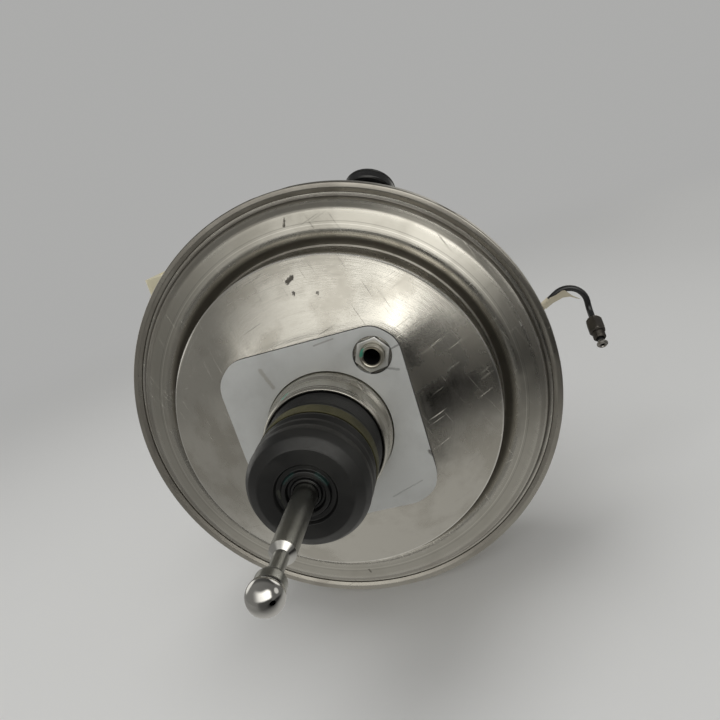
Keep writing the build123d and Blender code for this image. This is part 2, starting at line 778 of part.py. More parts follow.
# ================================================================ dust boot
with BuildPart() as dust_boot:
    root_y = -10.0
    root_r = NECK_BORE - NECK_LIP - 0.2
    with BuildSketch():
        turned(
            (root_r - 3.2, root_y),
            (root_r, root_y),
            (root_r, -24.0),
            (root_r - 1.3, -26.0),
            (root_r - 0.2, -28.0),
            (root_r - 1.3, -30.5),
            (root_r - 0.2, -33.0),
            (root_r - 1.3, -35.5),
            (root_r - 0.2, -38.0),
            (31.2, -39.0),
            (31.2, -48.6),
            (BOOT_R - 0.3, -50.0),
            (BOOT_R + 0.2, -52.5),
            (31.0, -56.0),
            (31.2, -57.5),
            (BOOT_R + 0.3, -59.0),
            (31.6, -64.5),
            (BOOT_R, -66.5),
            (BOOT_R, -71.0),
            (BOOT_R - 1.0, -74.6),
            (BOOT_R - 3.4, -77.2),
            (24.2, BOOT_FACE_Y),
            (15.6, BOOT_FACE_Y),
            (14.6, BOOT_FACE_Y + 2.4),
            (12.6, BOOT_FACE_Y + 2.4),
            (12.2, BOOT_FACE_Y + 0.4),
            (10.2, BOOT_FACE_Y + 0.4),
            (9.6, BOOT_FACE_Y + 3.0),
            (8.2, BOOT_FACE_Y + 3.0),
            (7.6, BOOT_FACE_Y + 1.2),
            (INPUT_R + LOOSE_GAP, BOOT_FACE_Y + 1.2),
            (INPUT_R + LOOSE_GAP, BOOT_FACE_Y + 6.0),
            (23.0, BOOT_FACE_Y + 4.6),
            (BOOT_R - 2.6, BOOT_FACE_Y + 8.6),
            (29.4, -62.0),
            (28.8, -57.0),
            (29.4, -50.0),
            (28.9, -45.0),
            (28.9, -36.0),
            (root_r - 3.2, -28.0),
        )
    revolve(axis=Axis.Y)
keep(dust_boot.part, "dust_boot")

with BuildPart() as boot_band:
    with BuildSketch():
        band(31.4, 32.9, -48.4, -39.2)
    revolve(axis=Axis.Y)
keep(boot_band.part, "boot_band")

# ================================================================ booster springs
main_spring = coil_spring(
    forward_plane(MAIN_SEAT_Y + SLIDE_GAP),
    MAIN_SPRING_R,
    MAIN_WIRE,
    HUB_FACE_Y - CURL_T - MAIN_SEAT_Y - 2 * SLIDE_GAP,
    5,
)
keep(main_spring.part, "main_spring")

input_spring = coil_spring(forward_plane(SLIDE_GAP - 26.0), 13.0, 1.8, 32.5, 6)
keep(input_spring.part, "input_spring")

poppet_spring = coil_spring(forward_plane(7.7 + SLIDE_GAP), 10.5, 1.2, PLUNGER_Y - 10.2, 3)
keep(poppet_spring.part, "poppet_spring")

# ================================================================ master cylinder
with BuildPart() as master_cylinder:
    with BuildSketch():
        band(0, SPIGOT_HOLE_R - 0.2, MC_FACE_Y - SPIGOT_LEN, MC_FACE_Y)
        band(0, MC_R + 2, MC_FACE_Y, MC_FRONT_FLANGE_Y + 6)
        band(0, MC_R, MC_FACE_Y, MC_END_Y)
        band(SPIGOT_HOLE_R - 2.4, SPIGOT_HOLE_R, MC_FACE_Y - 6.6, MC_FACE_Y - 4.0, mode=Mode.SUBTRACT)
    revolve(axis=Axis.Y)
    chamfer(master_cylinder.faces().sort_by(Axis.Y)[-1].edges(), length=3.0)
    with BuildSketch(across(MC_FACE_Y)):
        Circle(MC_FLANGE_R)
        with Locations(*STUDS):
            Circle(MC_EAR_R)
        make_hull()
    extrude(amount=-MC_FLANGE_T)
    # feed bosses, rib between them and the lug for the reservoir pin
    with BuildSketch(Plane.XY):
        with Locations(*[(0, feed) for feed in FEED_Y]):
            Circle(FEED_BOSS_R)
    extrude(amount=FEED_TOP_Z)
    with Locations((0, (FEED_Y[0] + FEED_Y[1]) / 2, 13.0)):
        Box(8.0, FEED_Y[1] - FEED_Y[0], 26.0)
    with BuildSketch(Plane.YZ.offset(-LUG_HALF)):
        with Locations((LUG_Y, 20.0)):
            Rectangle(12.0, 28.0)
        with Locations((LUG_Y, PIN_Z)):
            Circle(6.0)
    extrude(amount=2 * LUG_HALF)
    # outlet bosses
    with BuildSketch(Plane.YZ):
        with Locations((OUTLET_Y, OUTLET_Z), (SECOND_OUTLET_Y, OUTLET_Z)):
            Circle(BOSS_R)
    extrude(amount=BOSS_X)
    # bore with the circlip groove
    with BuildSketch():
        band(0, MC_BORE_R, MC_FACE_Y - SPIGOT_LEN, MC_BORE_END_Y)
        band(0, MC_BORE_R + 1.0, PRIMARY_STEP_Y - 1.7, PRIMARY_STEP_Y - 0.3)
    revolve(axis=Axis.Y, mode=Mode.SUBTRACT)
    with BuildSketch(Plane.XY.offset(FEED_TOP_Z)):
        with Locations(*[(0, feed) for feed in FEED_Y]):
            Circle(FEED_SOCKET_R)
    extrude(amount=-FEED_SOCKET_DEPTH, mode=Mode.SUBTRACT)
    with BuildSketch(Plane.XY.offset(FEED_TOP_Z)):
        with Locations(*[(0, feed) for feed in FEED_Y]):
            Circle(DRILLING_R)
    extrude(amount=-FEED_TOP_Z, mode=Mode.SUBTRACT)
    with BuildSketch(Plane.YZ.offset(BOSS_X)):
        with Locations((OUTLET_Y, OUTLET_Z), (SECOND_OUTLET_Y, OUTLET_Z)):
            Circle(PORT_R)
    extrude(amount=-PORT_DEPTH, mode=Mode.SUBTRACT)
    with BuildSketch(Plane.YZ.offset(BOSS_X)):
        with Locations((OUTLET_Y, OUTLET_Z), (SECOND_OUTLET_Y, OUTLET_Z)):
            Circle(DRILLING_R)
    extrude(amount=-BOSS_X, mode=Mode.SUBTRACT)
    with BuildSketch(Plane.YZ.offset(-LUG_HALF)):
        with Locations((LUG_Y, PIN_Z)):
            Circle(PIN_R + SLIDE_GAP)
    extrude(amount=2 * LUG_HALF, mode=Mode.SUBTRACT)
    with BuildSketch(across(MC_FACE_Y)):
        with Locations(*STUDS):
            Circle(STUD_R + LOOSE_GAP)
    extrude(amount=-MC_FLANGE_T, mode=Mode.SUBTRACT)
keep(master_cylinder.part, "master_cylinder")

with BuildPart() as mc_o_ring:
    with BuildSketch():
        with Locations((SPIGOT_HOLE_R - 1.2, MC_FACE_Y - 5.3)):
            Circle(1.1)
    revolve(axis=Axis.Y)
keep(mc_o_ring.part, "mc_o_ring")

with BuildPart() as mc_nuts:
    with BuildSketch(across(MC_FRONT_FLANGE_Y)):
        with Locations(*STUDS):
            RegularPolygon(radius=MC_NUT_AF / 2, side_count=6, major_radius=False)
            Circle(STUD_R + FIT_GAP, mode=Mode.SUBTRACT)
    extrude(amount=-MC_NUT_T)
keep(mc_nuts.part, "mc_nuts")

with BuildPart() as piston_circlip:
    with BuildSketch():
        band(MC_BORE_R - 1.7, MC_BORE_R + 0.9, PRIMARY_STEP_Y - 1.6, PRIMARY_STEP_Y - 0.4)
    revolve(axis=Axis.Y, revolution_arc=330)
keep(piston_circlip.part, "piston_circlip")

with BuildPart() as primary_piston:
    with BuildSketch():
        band(0, MC_BORE_R - 2.1, PRIMARY_REAR_Y, PRIMARY_STEP_Y)
        band(0, MC_BORE_R - SLIDE_GAP, PRIMARY_STEP_Y, PRIMARY_FRONT_Y)
    revolve(axis=Axis.Y)
    with BuildSketch():
        band(0, OUTPUT_R + 2.0, PRIMARY_REAR_Y, OUTPUT_TIP_Y + LOOSE_GAP)
        for cup in PRIMARY_CUPS:
            band(CUP_FLOOR_R, MC_BORE_R, cup, cup + CUP_T)
    revolve(axis=Axis.Y, mode=Mode.SUBTRACT)
keep(primary_piston.part, "primary_piston")

with BuildPart() as primary_cups:
    with BuildSketch():
        for cup in PRIMARY_CUPS:
            band(CUP_FLOOR_R + SLIDE_GAP, MC_BORE_R - SLIDE_GAP, cup + 0.1, cup + CUP_T - 0.1)
            band(CUP_FLOOR_R + 1.0, MC_BORE_R - 1.0, cup + 2.2, cup + CUP_T, mode=Mode.SUBTRACT)
    revolve(axis=Axis.Y)
keep(primary_cups.part, "primary_cups")

primary_spring = coil_spring(
    forward_plane(PRIMARY_FRONT_Y + SLIDE_GAP),
    RETURN_SPRING_R,
    RETURN_WIRE,
    SECONDARY_REAR_Y - PRIMARY_FRONT_Y - 2 * SLIDE_GAP,
    5,
)
keep(primary_spring.part, "primary_spring")

with BuildPart() as secondary_piston:
    with BuildSketch():
        band(0, MC_BORE_R - SLIDE_GAP, SECONDARY_REAR_Y, SECONDARY_FRONT_Y)
    revolve(axis=Axis.Y)
    with BuildSketch():
        for cup in SECONDARY_CUPS:
            band(CUP_FLOOR_R, MC_BORE_R, cup, cup + CUP_T)
    revolve(axis=Axis.Y, mode=Mode.SUBTRACT)
keep(secondary_piston.part, "secondary_piston")

with BuildPart() as secondary_cups:
    with BuildSketch():
        for cup in SECONDARY_CUPS:
            band(CUP_FLOOR_R + SLIDE_GAP, MC_BORE_R - SLIDE_GAP, cup + 0.1, cup + CUP_T - 0.1)
            band(CUP_FLOOR_R + 1.0, MC_BORE_R - 1.0, cup + 2.2, cup + CUP_T, mode=Mode.SUBTRACT)
    revolve(axis=Axis.Y)
keep(secondary_cups.part, "secondary_cups")

secondary_spring = coil_spring(
    forward_plane(SECONDARY_FRONT_Y + SLIDE_GAP),
    RETURN_SPRING_R,
    RETURN_WIRE,
    MC_BORE_END_Y - SECONDARY_FRONT_Y - 2 * SLIDE_GAP,
    6,
)
keep(secondary_spring.part, "secondary_spring")

# ================================================================ reservoir
FLOOR_IN_Z = WELL_FLOOR_Z + TANK_WALL
CEILING_Z = TANK_TOP_Z - TANK_WALL


def tank_block(inset):
    """Wing and well of the tank, drawn in by this much on every side."""
    middle = ((TANK_LEFT_X + TANK_RIGHT_X) / 2, (TANK_REAR_Y + TANK_FRONT_Y) / 2)
    with BuildSketch(Plane.XY.offset(WING_FLOOR_Z + inset)) as wing:
        with Locations(middle):
            RectangleRounded(
                TANK_RIGHT_X - TANK_LEFT_X - 2 * inset,
                TANK_FRONT_Y - TANK_REAR_Y - 2 * inset,
                TANK_CORNER - inset,
            )
    with BuildSketch(Plane.XY.offset(WELL_FLOOR_Z + inset)) as well:
        with Locations((0, (WELL_REAR_Y + TANK_FRONT_Y) / 2)):
            RectangleRounded(
                2 * WELL_HALF_X - 2 * inset,
                TANK_FRONT_Y - WELL_REAR_Y - 2 * inset,
                TANK_CORNER - inset,
            )
    return (
        extrude(wing.sketch, amount=TANK_TOP_Z - WING_FLOOR_Z - 2 * inset, mode=Mode.PRIVATE),
        extrude(well.sketch, amount=WING_FLOOR_Z - WELL_FLOOR_Z + 0.5, mode=Mode.PRIVATE),
    )


with BuildPart() as reservoir:
    add(tank_block(0))
    # filler neck, feed nipples and float column
    with Locations((FILLER_X, FILLER_Y, (TANK_TOP_Z + FILLER_TOP_Z) / 2 - 1)):
        Cylinder(FILLER_R, FILLER_TOP_Z - TANK_TOP_Z + 2)
    with BuildSketch(Plane.XY.offset(NIPPLE_END_Z)):
        with Locations(*[(0, feed) for feed in FEED_Y]):
            Circle(NIPPLE_R)
    extrude(amount=WELL_FLOOR_Z - NIPPLE_END_Z + 1)
    add(tank_block(TANK_WALL), mode=Mode.SUBTRACT)
    with Locations((FILLER_X, FILLER_Y, FILLER_TOP_Z - 9)):
        Cylinder(FILLER_R - TANK_WALL, 20, mode=Mode.SUBTRACT)
    with BuildSketch(Plane.XY.offset(NIPPLE_END_Z)):
        with Locations(*[(0, feed) for feed in FEED_Y]):
            Circle(NIPPLE_BORE)
    extrude(amount=WELL_FLOOR_Z - NIPPLE_END_Z + TANK_WALL + 1, mode=Mode.SUBTRACT)
    with BuildSketch(Plane.XY.offset(WELL_FLOOR_Z)):
        with Locations((FLOAT_X, LUG_Y)):
            Circle(COLUMN_R)
    extrude(amount=COLUMN_TOP_Z - WELL_FLOOR_Z)
    with BuildSketch(Plane.XY.offset(WELL_FLOOR_Z)):
        with Locations((FLOAT_X, LUG_Y)):
            Circle(COLUMN_R - 1.5)
    extrude(amount=COLUMN_TOP_Z - WELL_FLOOR_Z - 2, mode=Mode.SUBTRACT)
    # baffle between the two feed chambers
    with Locations((0, LUG_Y + 19, FLOOR_IN_Z + 9)):
        Box(2 * WELL_HALF_X - TANK_WALL, 2.0, 20.0)
    # ears for the retaining pin
    for side in (-1, 1):
        with BuildSketch(Plane.YZ.offset(side * (LUG_HALF + 1.9) - 1.5)):
            with Locations((LUG_Y, (PIN_Z + WELL_FLOOR_Z) / 2)):
                Rectangle(11.0, WELL_FLOOR_Z - PIN_Z)
            with Locations((LUG_Y, PIN_Z)):
                Circle(5.5)
                Circle(PIN_R + SLIDE_GAP, mode=Mode.SUBTRACT)
        extrude(amount=3.0)
keep(reservoir.part, "reservoir")

with BuildPart() as reservoir_grommets:
    for feed in FEED_Y:
        with BuildSketch(Plane(origin=(0, feed, 0), x_dir=(1, 0, 0), z_dir=(0, -1, 0))):
            band(NIPPLE_R + SLIDE_GAP, FEED_SOCKET_R - SLIDE_GAP, FEED_TOP_Z - FEED_SOCKET_DEPTH + 0.2, FEED_TOP_Z + 1)
            band(NIPPLE_R + SLIDE_GAP, FEED_BOSS_R, FEED_TOP_Z + SLIDE_GAP, FEED_TOP_Z + 3.0)
        revolve(axis=Axis((0, feed, 0), (0, 0, 1)))
keep(reservoir_grommets.part, "reservoir_grommets")

with BuildPart() as reservoir_pin:
    with BuildSketch(Plane.YZ.offset(-11.0)):
        with Locations((LUG_Y, PIN_Z)):
            Circle(PIN_R)
    extrude(amount=22.0)
    with BuildSketch(Plane.YZ.offset(-9.0)):
        with Locations((LUG_Y, PIN_Z)):
            Circle(PIN_R + 1.5)
    extrude(amount=-2.0)
keep(reservoir_pin.part, "reservoir_pin")

FILLER_PROFILE = Plane(origin=(FILLER_X, FILLER_Y, 0), x_dir=(1, 0, 0), z_dir=(0, -1, 0))
FILLER_LINE = Axis((FILLER_X, FILLER_Y, 0), (0, 0, 1))
with BuildPart() as reservoir_cap:
    with BuildSketch(FILLER_PROFILE):
        turned(
            (0, CAP_TOP_Z - 2.5),
            (FILLER_R + LOOSE_GAP + 0.6, CAP_TOP_Z - 2.5),
            (FILLER_R + LOOSE_GAP + 0.6, TANK_TOP_Z + 3.0),
            (CAP_R, TANK_TOP_Z + 3.0),
            (CAP_R, CAP_TOP_Z - 2.0),
            (CAP_R - 2.0, CAP_TOP_Z),
            (0, CAP_TOP_Z),
        )
    revolve(axis=FILLER_LINE)
    with BuildSketch(Plane.XY.offset(TANK_TOP_Z + 3.0)):
        with Locations((FILLER_X, FILLER_Y)):
            with PolarLocations(CAP_R + 0.6, CAP_NOTCHES):
                Circle(2.2)
    extrude(amount=CAP_TOP_Z - TANK_TOP_Z - 5.5, mode=Mode.SUBTRACT)
keep(reservoir_cap.part, "reservoir_cap")

with BuildPart() as cap_insert:
    bore = FILLER_R - TANK_WALL
    with BuildSketch(FILLER_PROFILE):
        turned(
            (0, FILLER_TOP_Z - 14.0),
            (bore - 3.0, FILLER_TOP_Z - 14.0),
            (bore - 3.0, FILLER_TOP_Z - 8.0),
            (bore - 0.5, FILLER_TOP_Z - 6.0),
            (bore - 0.5, FILLER_TOP_Z + SLIDE_GAP),
            (FILLER_R, FILLER_TOP_Z + SLIDE_GAP),
            (FILLER_R, FILLER_TOP_Z + 2.0),
            (bore - 2.0, FILLER_TOP_Z + 2.0),
            (bore - 2.0, FILLER_TOP_Z - 5.4),
            (bore - 4.5, FILLER_TOP_Z - 7.4),
            (bore - 4.5, FILLER_TOP_Z - 12.5),
            (0, FILLER_TOP_Z - 12.5),
        )
    revolve(axis=FILLER_LINE)
keep(cap_insert.part, "cap_insert")

with BuildPart() as level_float:
    with BuildSketch(Plane.XY.offset(FLOOR_IN_Z + LOOSE_GAP)):
        with Locations((FLOAT_X, LUG_Y)):
            Circle(FLOAT_R)
            Circle(COLUMN_R + FIT_GAP, mode=Mode.SUBTRACT)
    extrude(amount=FLOAT_T)
keep(level_float.part, "level_float")

with BuildPart() as level_switch:
    with BuildSketch(Plane.XY.offset(WELL_FLOOR_Z - SLIDE_GAP)):
        with Locations((FLOAT_X, LUG_Y)):
            Circle(7.5)
    extrude(amount=-9.0)
    with BuildSketch(Plane.XY.offset(WELL_FLOOR_Z - 1)):
        with Locations((FLOAT_X, LUG_Y)):
            Circle(COLUMN_R - 1.5 - SLIDE_GAP)
    extrude(amount=COLUMN_TOP_Z - WELL_FLOOR_Z - 4)
    # connector shell
    with Locations((FLOAT_X + 14.0, LUG_Y, WELL_FLOOR_Z - 5.0)):
        Box(18.0, 11.0, 8.0)
    with Locations((FLOAT_X + 17.0, LUG_Y, WELL_FLOOR_Z - 5.0)):
        Box(13.0, 8.0, 5.0, mode=Mode.SUBTRACT)
keep(level_switch.part, "level_switch")

# ================================================================ check valve
CHECK_TOP = CHECK_STAND + CHECK_BODY_T
CHECK_COVER_H = CHECK_TOP - CHECK_COVER_T
CHECK_SEAT_H = CHECK_STAND + 1.8
CHECK_MID_H = (CHECK_SEAT_H + CHECK_COVER_H) / 2 + 0.4
BARB_DIR = (
    CHECK_SIDE * math.cos(math.radians(BARB_TURN))
    + CHECK_AXIS.cross(CHECK_SIDE) * math.sin(math.radians(BARB_TURN))
)


def barb_plane(reach):
    """Plane across the hose barb, this far from the valve's axis."""
    return Plane(origin=CHECK_SEAT + CHECK_AXIS * CHECK_MID_H + BARB_DIR * reach, x_dir=CHECK_AXIS, z_dir=BARB_DIR)


with BuildPart() as check_valve_grommet:
    with BuildSketch(CHECK_PROFILE):
        turned(
            (CHECK_SPIGOT_R + SLIDE_GAP, -8.0),
            (CHECK_HOLE_R, -8.0),
            (CHECK_HOLE_R + 1.5, -6.6),
            (CHECK_HOLE_R + 1.5, -5.9),
            (CHECK_HOLE_R - SLIDE_GAP, -5.9),
            (CHECK_HOLE_R - SLIDE_GAP, 1.0 + SLIDE_GAP),
            (CHECK_HOLE_R + 3.5, 1.0 + SLIDE_GAP),
            (CHECK_HOLE_R + 2.5, CHECK_STAND - 2.0),
            (CHECK_SPIGOT_R + SLIDE_GAP, CHECK_STAND - 2.0),
        )
    revolve(axis=CHECK_LINE)
keep(check_valve_grommet.part, "check_valve_grommet")

with BuildPart() as check_valve_body:
    with BuildSketch(CHECK_PROFILE):
        turned(
            (4.0, -14.0),
            (CHECK_SPIGOT_R - 1.0, -14.0),
            (CHECK_SPIGOT_R, -12.0),
            (CHECK_SPIGOT_R, CHECK_STAND - 1.6),
            (CHECK_SPIGOT_R + 2.0, CHECK_STAND - 1.6),
            (CHECK_SPIGOT_R + 4.0, CHECK_STAND),
            (CHECK_BODY_R - 1.0, CHECK_STAND),
            (CHECK_BODY_R, CHECK_STAND + 1.0),
            (CHECK_BODY_R, CHECK_COVER_H),
            (CHECK_CHAMBER_R, CHECK_COVER_H),
            (CHECK_CHAMBER_R, CHECK_SEAT_H),
            (4.0, CHECK_SEAT_H),
        )
    revolve(axis=CHECK_LINE)
    with BuildSketch(barb_plane(CHECK_CHAMBER_R + 3)):
        Circle(BARB_R)
    extrude(amount=BARB_LEN - CHECK_CHAMBER_R - 3)
    with BuildSketch(barb_plane(BARB_LEN - 5.0)):
        Circle(BARB_R + 0.9)
    extrude(amount=4.0, taper=12)
    with BuildSketch(check_plane(CHECK_COVER_H)):
        Circle(CHECK_BODY_R + SLIDE_GAP)
    extrude(amount=2 * CHECK_COVER_T, mode=Mode.SUBTRACT)
    with BuildSketch(barb_plane(CHECK_CHAMBER_R - 3)):
        Circle(CHECK_DISC_T)
    extrude(amount=BARB_LEN, mode=Mode.SUBTRACT)
    with BuildSketch(barb_plane(CHECK_BODY_R)):
        Circle(BARB_BORE)
    extrude(amount=BARB_LEN, mode=Mode.SUBTRACT)
keep(check_valve_body.part, "check_valve_body")

with BuildPart() as check_valve_cover:
    with BuildSketch(CHECK_PROFILE):
        turned(
            (0, CHECK_COVER_H),
            (CHECK_BODY_R - 0.6, CHECK_COVER_H),
            (CHECK_BODY_R, CHECK_COVER_H + 0.6),
            (CHECK_BODY_R, CHECK_TOP - 1.4),
            (CHECK_BODY_R - 1.4, CHECK_TOP),
            (CHECK_BODY_R - 4.0, CHECK_TOP),
            (CHECK_BODY_R - 4.8, CHECK_TOP - 0.8),
            (0, CHECK_TOP - 0.8),
        )
    revolve(axis=CHECK_LINE)
keep(check_valve_cover.part, "check_valve_cover")

with BuildPart() as check_valve_disc:
    with BuildSketch(check_plane(CHECK_SEAT_H + SLIDE_GAP)):
        Circle(CHECK_CHAMBER_R - 1.0)
    extrude(amount=CHECK_DISC_T)
keep(check_valve_disc.part, "check_valve_disc")

check_valve_spring = coil_spring(
    check_plane(CHECK_SEAT_H + CHECK_DISC_T + 2 * SLIDE_GAP),
    5.0,
    0.7,
    CHECK_COVER_H - CHECK_SEAT_H - CHECK_DISC_T - 3 * SLIDE_GAP,
    2,
)
keep(check_valve_spring.part, "check_valve_spring")

# ================================================================ outlet pipe
PORT_FLOOR_X = BOSS_X - PORT_DEPTH
PORT_LINE = Axis((0, OUTLET_Y, OUTLET_Z), (1, 0, 0))
LEG_BACK = math.sin(math.radians(LEG_LEAN))
LEG_DOWN = math.cos(math.radians(LEG_LEAN))
LEG_DIR = Vector(0, -LEG_BACK, -LEG_DOWN)
KNEE = Vector(ARCH_X, OUTLET_Y, KNEE_Z)
KNEE_REACH = KNEE_BEND * math.tan(math.radians(LEG_LEAN / 2))
FLARE_TIP = KNEE + LEG_DIR * LEG_LEN


def leg_plane(reach):
    """Plane across the end leg, this far from its knee, facing the flare."""
    return Plane(origin=KNEE + LEG_DIR * reach, x_dir=(1, 0, 0), z_dir=LEG_DIR)


def knee_point(degrees):
    """Path point this far round the knee's bend: (x, z, reach towards the pedal side)."""
    bend = math.radians(degrees)
    drop = KNEE_BEND * math.sin(bend)
    return (ARCH_X, KNEE_Z + KNEE_REACH - drop, KNEE_BEND * (1 - math.cos(bend)))


with BuildPart() as brake_pipe:
    with BuildLine(across(OUTLET_Y)) as pipe_path:
        FilletPolyline(
            (PORT_FLOOR_X + 0.2, OUTLET_Z),
            (DIP_START_X, OUTLET_Z),
            (DIP_X, DIP_Z),
            (ARCH_X, ARCH_Z),
            (ARCH_X, KNEE_Z + KNEE_REACH),
            radius=[PIPE_BEND, PIPE_BEND, ARCH_BEND],
        )
        ThreePointArc(knee_point(0), knee_point(LEG_LEAN / 2), knee_point(LEG_LEAN))
        Line(
            knee_point(LEG_LEAN),
            (ARCH_X, KNEE_Z - LEG_LEN * LEG_DOWN, LEG_LEN * LEG_BACK),
        )
    with BuildSketch(Plane(origin=pipe_path.line @ 0, x_dir=(0, 1, 0), z_dir=(1, 0, 0))):
        Circle(PIPE_R)
        Circle(PIPE_BORE, mode=Mode.SUBTRACT)
    sweep()
    # double flares, outlet end and port end
    with BuildSketch(Plane(origin=FLARE_TIP, x_dir=(1, 0, 0), z_dir=(0, -LEG_DOWN, LEG_BACK))):
        turned(
            (PIPE_BORE, 0),
            (FLARE_R - 1.2, 0),
            (FLARE_R, 1.2),
            (FLARE_R, 2.2),
            (PIPE_R, FLARE_T),
            (PIPE_BORE, FLARE_T),
        )
    revolve(axis=Axis(FLARE_TIP, LEG_DIR))
    with BuildSketch(across(OUTLET_Y)):
        turned(
            (PORT_FLOOR_X + 0.2, OUTLET_Z + PIPE_BORE),
            (PORT_FLOOR_X + 0.2, OUTLET_Z + FLARE_R - 1.2),
            (PORT_FLOOR_X + 1.4, OUTLET_Z + FLARE_R),
            (PORT_FLOOR_X + 2.4, OUTLET_Z + FLARE_R),
            (PORT_FLOOR_X + 4.0, OUTLET_Z + PIPE_R),
            (PORT_FLOOR_X + 4.0, OUTLET_Z + PIPE_BORE),
        )
    revolve(axis=PORT_LINE)
keep(brake_pipe.part, "brake_pipe")

NUT_FRONT = LEG_LEN - FLARE_T - NUT_GAP
NUT_SHOULDER = NUT_FRONT - NUT_THREAD_LEN
NUT_BACK = NUT_SHOULDER - NUT_HEX_LEN
with BuildPart() as tube_nut:
    with BuildSketch(leg_plane(NUT_BACK)):
        RegularPolygon(radius=NUT_AF / 2, side_count=6, major_radius=False)
    extrude(amount=NUT_HEX_LEN)
    with BuildSketch(leg_plane(NUT_SHOULDER)):
        Circle(NUT_THREAD_R)
    extrude(amount=NUT_THREAD_LEN)
    with BuildSketch(leg_plane(NUT_BACK)):
        Circle(PIPE_R + SLIDE_GAP)
    extrude(amount=NUT_FRONT - NUT_BACK, mode=Mode.SUBTRACT)
keep(tube_nut.part, "tube_nut")

with BuildPart() as mc_pipe_nut:
    with BuildSketch(Plane.YZ.offset(PORT_FLOOR_X + 4.4)):
        with Locations((OUTLET_Y, OUTLET_Z)):
            Circle(NUT_THREAD_R)
    extrude(amount=PORT_DEPTH - 4.4 + 1.0)
    with BuildSketch(Plane.YZ.offset(BOSS_X + 0.6)):
        with Locations((OUTLET_Y, OUTLET_Z)):
            RegularPolygon(radius=NUT_AF / 2, side_count=6, major_radius=False)
    extrude(amount=PORT_NUT_HEX)
    with BuildSketch(Plane.YZ.offset(PORT_FLOOR_X + 4.4)):
        with Locations((OUTLET_Y, OUTLET_Z)):
            Circle(PIPE_R + SLIDE_GAP)
    extrude(amount=PORT_DEPTH + PORT_NUT_HEX, mode=Mode.SUBTRACT)
keep(mc_pipe_nut.part, "mc_pipe_nut")

RISE_DIR = Vector(ARCH_X - DIP_X, 0, ARCH_Z - DIP_Z).normalized()
TAPE_ORIGIN = Vector(DIP_X, OUTLET_Y, DIP_Z) + RISE_DIR * TAPE_START
TAPE_FACE_Y = OUTLET_Y - PIPE_R - SLIDE_GAP - TAPE_T
with BuildPart() as pipe_tape:
    with BuildSketch(Plane(origin=TAPE_ORIGIN, x_dir=(0, 1, 0), z_dir=RISE_DIR)):
        Circle(PIPE_R + SLIDE_GAP + TAPE_T)
        Circle(PIPE_R + SLIDE_GAP, mode=Mode.SUBTRACT)
    extrude(amount=TAPE_LEN)
    # torn end that hangs in front of the arch
    with BuildSketch(across(TAPE_FACE_Y - 0.2)):
        turned(*TAPE_FLAP)
    extrude(amount=-TAPE_T)
keep(pipe_tape.part, "pipe_tape")
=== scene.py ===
"""Finished looks of a vacuum brake booster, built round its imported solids.

Sizes are written in millimetres in the row frame (+Y forward, +Z up, +X right seen from the pedal)
and scaled to metres when a mesh is made. Turned profiles are written (radius, y).
"""

import json
import logging
import math
from dataclasses import dataclass, field
from enum import Enum
from typing import Callable, Sequence

import bmesh
import bpy
from mathutils import Matrix, Vector


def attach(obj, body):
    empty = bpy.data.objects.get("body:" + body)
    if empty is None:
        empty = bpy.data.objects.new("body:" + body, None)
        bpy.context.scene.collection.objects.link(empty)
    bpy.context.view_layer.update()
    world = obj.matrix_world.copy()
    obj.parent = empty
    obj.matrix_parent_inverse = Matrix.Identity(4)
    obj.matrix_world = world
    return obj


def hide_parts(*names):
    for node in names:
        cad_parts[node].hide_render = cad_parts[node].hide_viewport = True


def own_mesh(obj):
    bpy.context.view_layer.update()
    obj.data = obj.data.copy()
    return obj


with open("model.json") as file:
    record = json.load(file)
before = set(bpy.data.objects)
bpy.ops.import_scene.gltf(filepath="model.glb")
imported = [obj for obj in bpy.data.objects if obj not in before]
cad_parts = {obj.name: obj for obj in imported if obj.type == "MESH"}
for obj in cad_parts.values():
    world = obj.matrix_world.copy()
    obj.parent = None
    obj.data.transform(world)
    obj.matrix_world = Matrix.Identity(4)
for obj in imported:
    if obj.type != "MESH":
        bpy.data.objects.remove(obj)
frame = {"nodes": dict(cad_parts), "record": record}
LOG = logging.getLogger("booster")

MM = 0.001
Point = tuple[float, float]
Triple = tuple[float, float, float]
Shape = Callable[[float, float, float], Point]  # (radius, along, angle) to (radius, along)

# ---------------------------------------------------------------- sizes shared by the pieces
PAD_Y = 3.0
PAD_HALF = 58.0
PAD_CORNER = 24.0
EDGE_R = 103.6
EDGE_Y = 23.0
FLAT_R = 40.0  # where the pad's flat begins
STUDS = ((38.891, 38.891), (-38.891, -38.891))
SLEEVE_R = 7.15
SLEEVE_ROOM = 7.9  # hole that the shell leaves round a sleeve
GASKET_HOLE = 11.4
FLANGE_R = 138.4
FLANGE_Y = 50.5
SKIRT_R = 142.6
DRUM_R = 134.0
DRUM_Y = 118.0
HUB_Y = 130.0
BALL_R = 8.05
BALL_Y = -161.0
SOCKET_R = 5.5
SOCKET_Y = 25.0
CHECK_ANGLE = math.radians(67.3)
CHECK_TILT = math.radians(40.0)
CHECK_RADIAL = Vector((math.cos(CHECK_ANGLE), 0, math.sin(CHECK_ANGLE)))
CHECK_SIDE = Vector((-math.sin(CHECK_ANGLE), 0, math.cos(CHECK_ANGLE)))
CHECK_AXIS = CHECK_RADIAL * math.sin(CHECK_TILT) + Vector((0, 1, 0)) * math.cos(CHECK_TILT)
CHECK_SEAT = CHECK_RADIAL * 110.0 + Vector((0, 94.0, 0)) + CHECK_AXIS * 24.0
CHECK_IN = CHECK_AXIS.cross(CHECK_SIDE)
BARB_TURN = math.radians(225.0)
BARB_DIR = CHECK_SIDE * math.cos(BARB_TURN) + CHECK_IN * math.sin(BARB_TURN)
LUG_HOLE = 2.56
OUTLET_Y = 203.0
OUTLET_Z = -3.0
DIP = Vector((128.0, OUTLET_Y, -26.0))
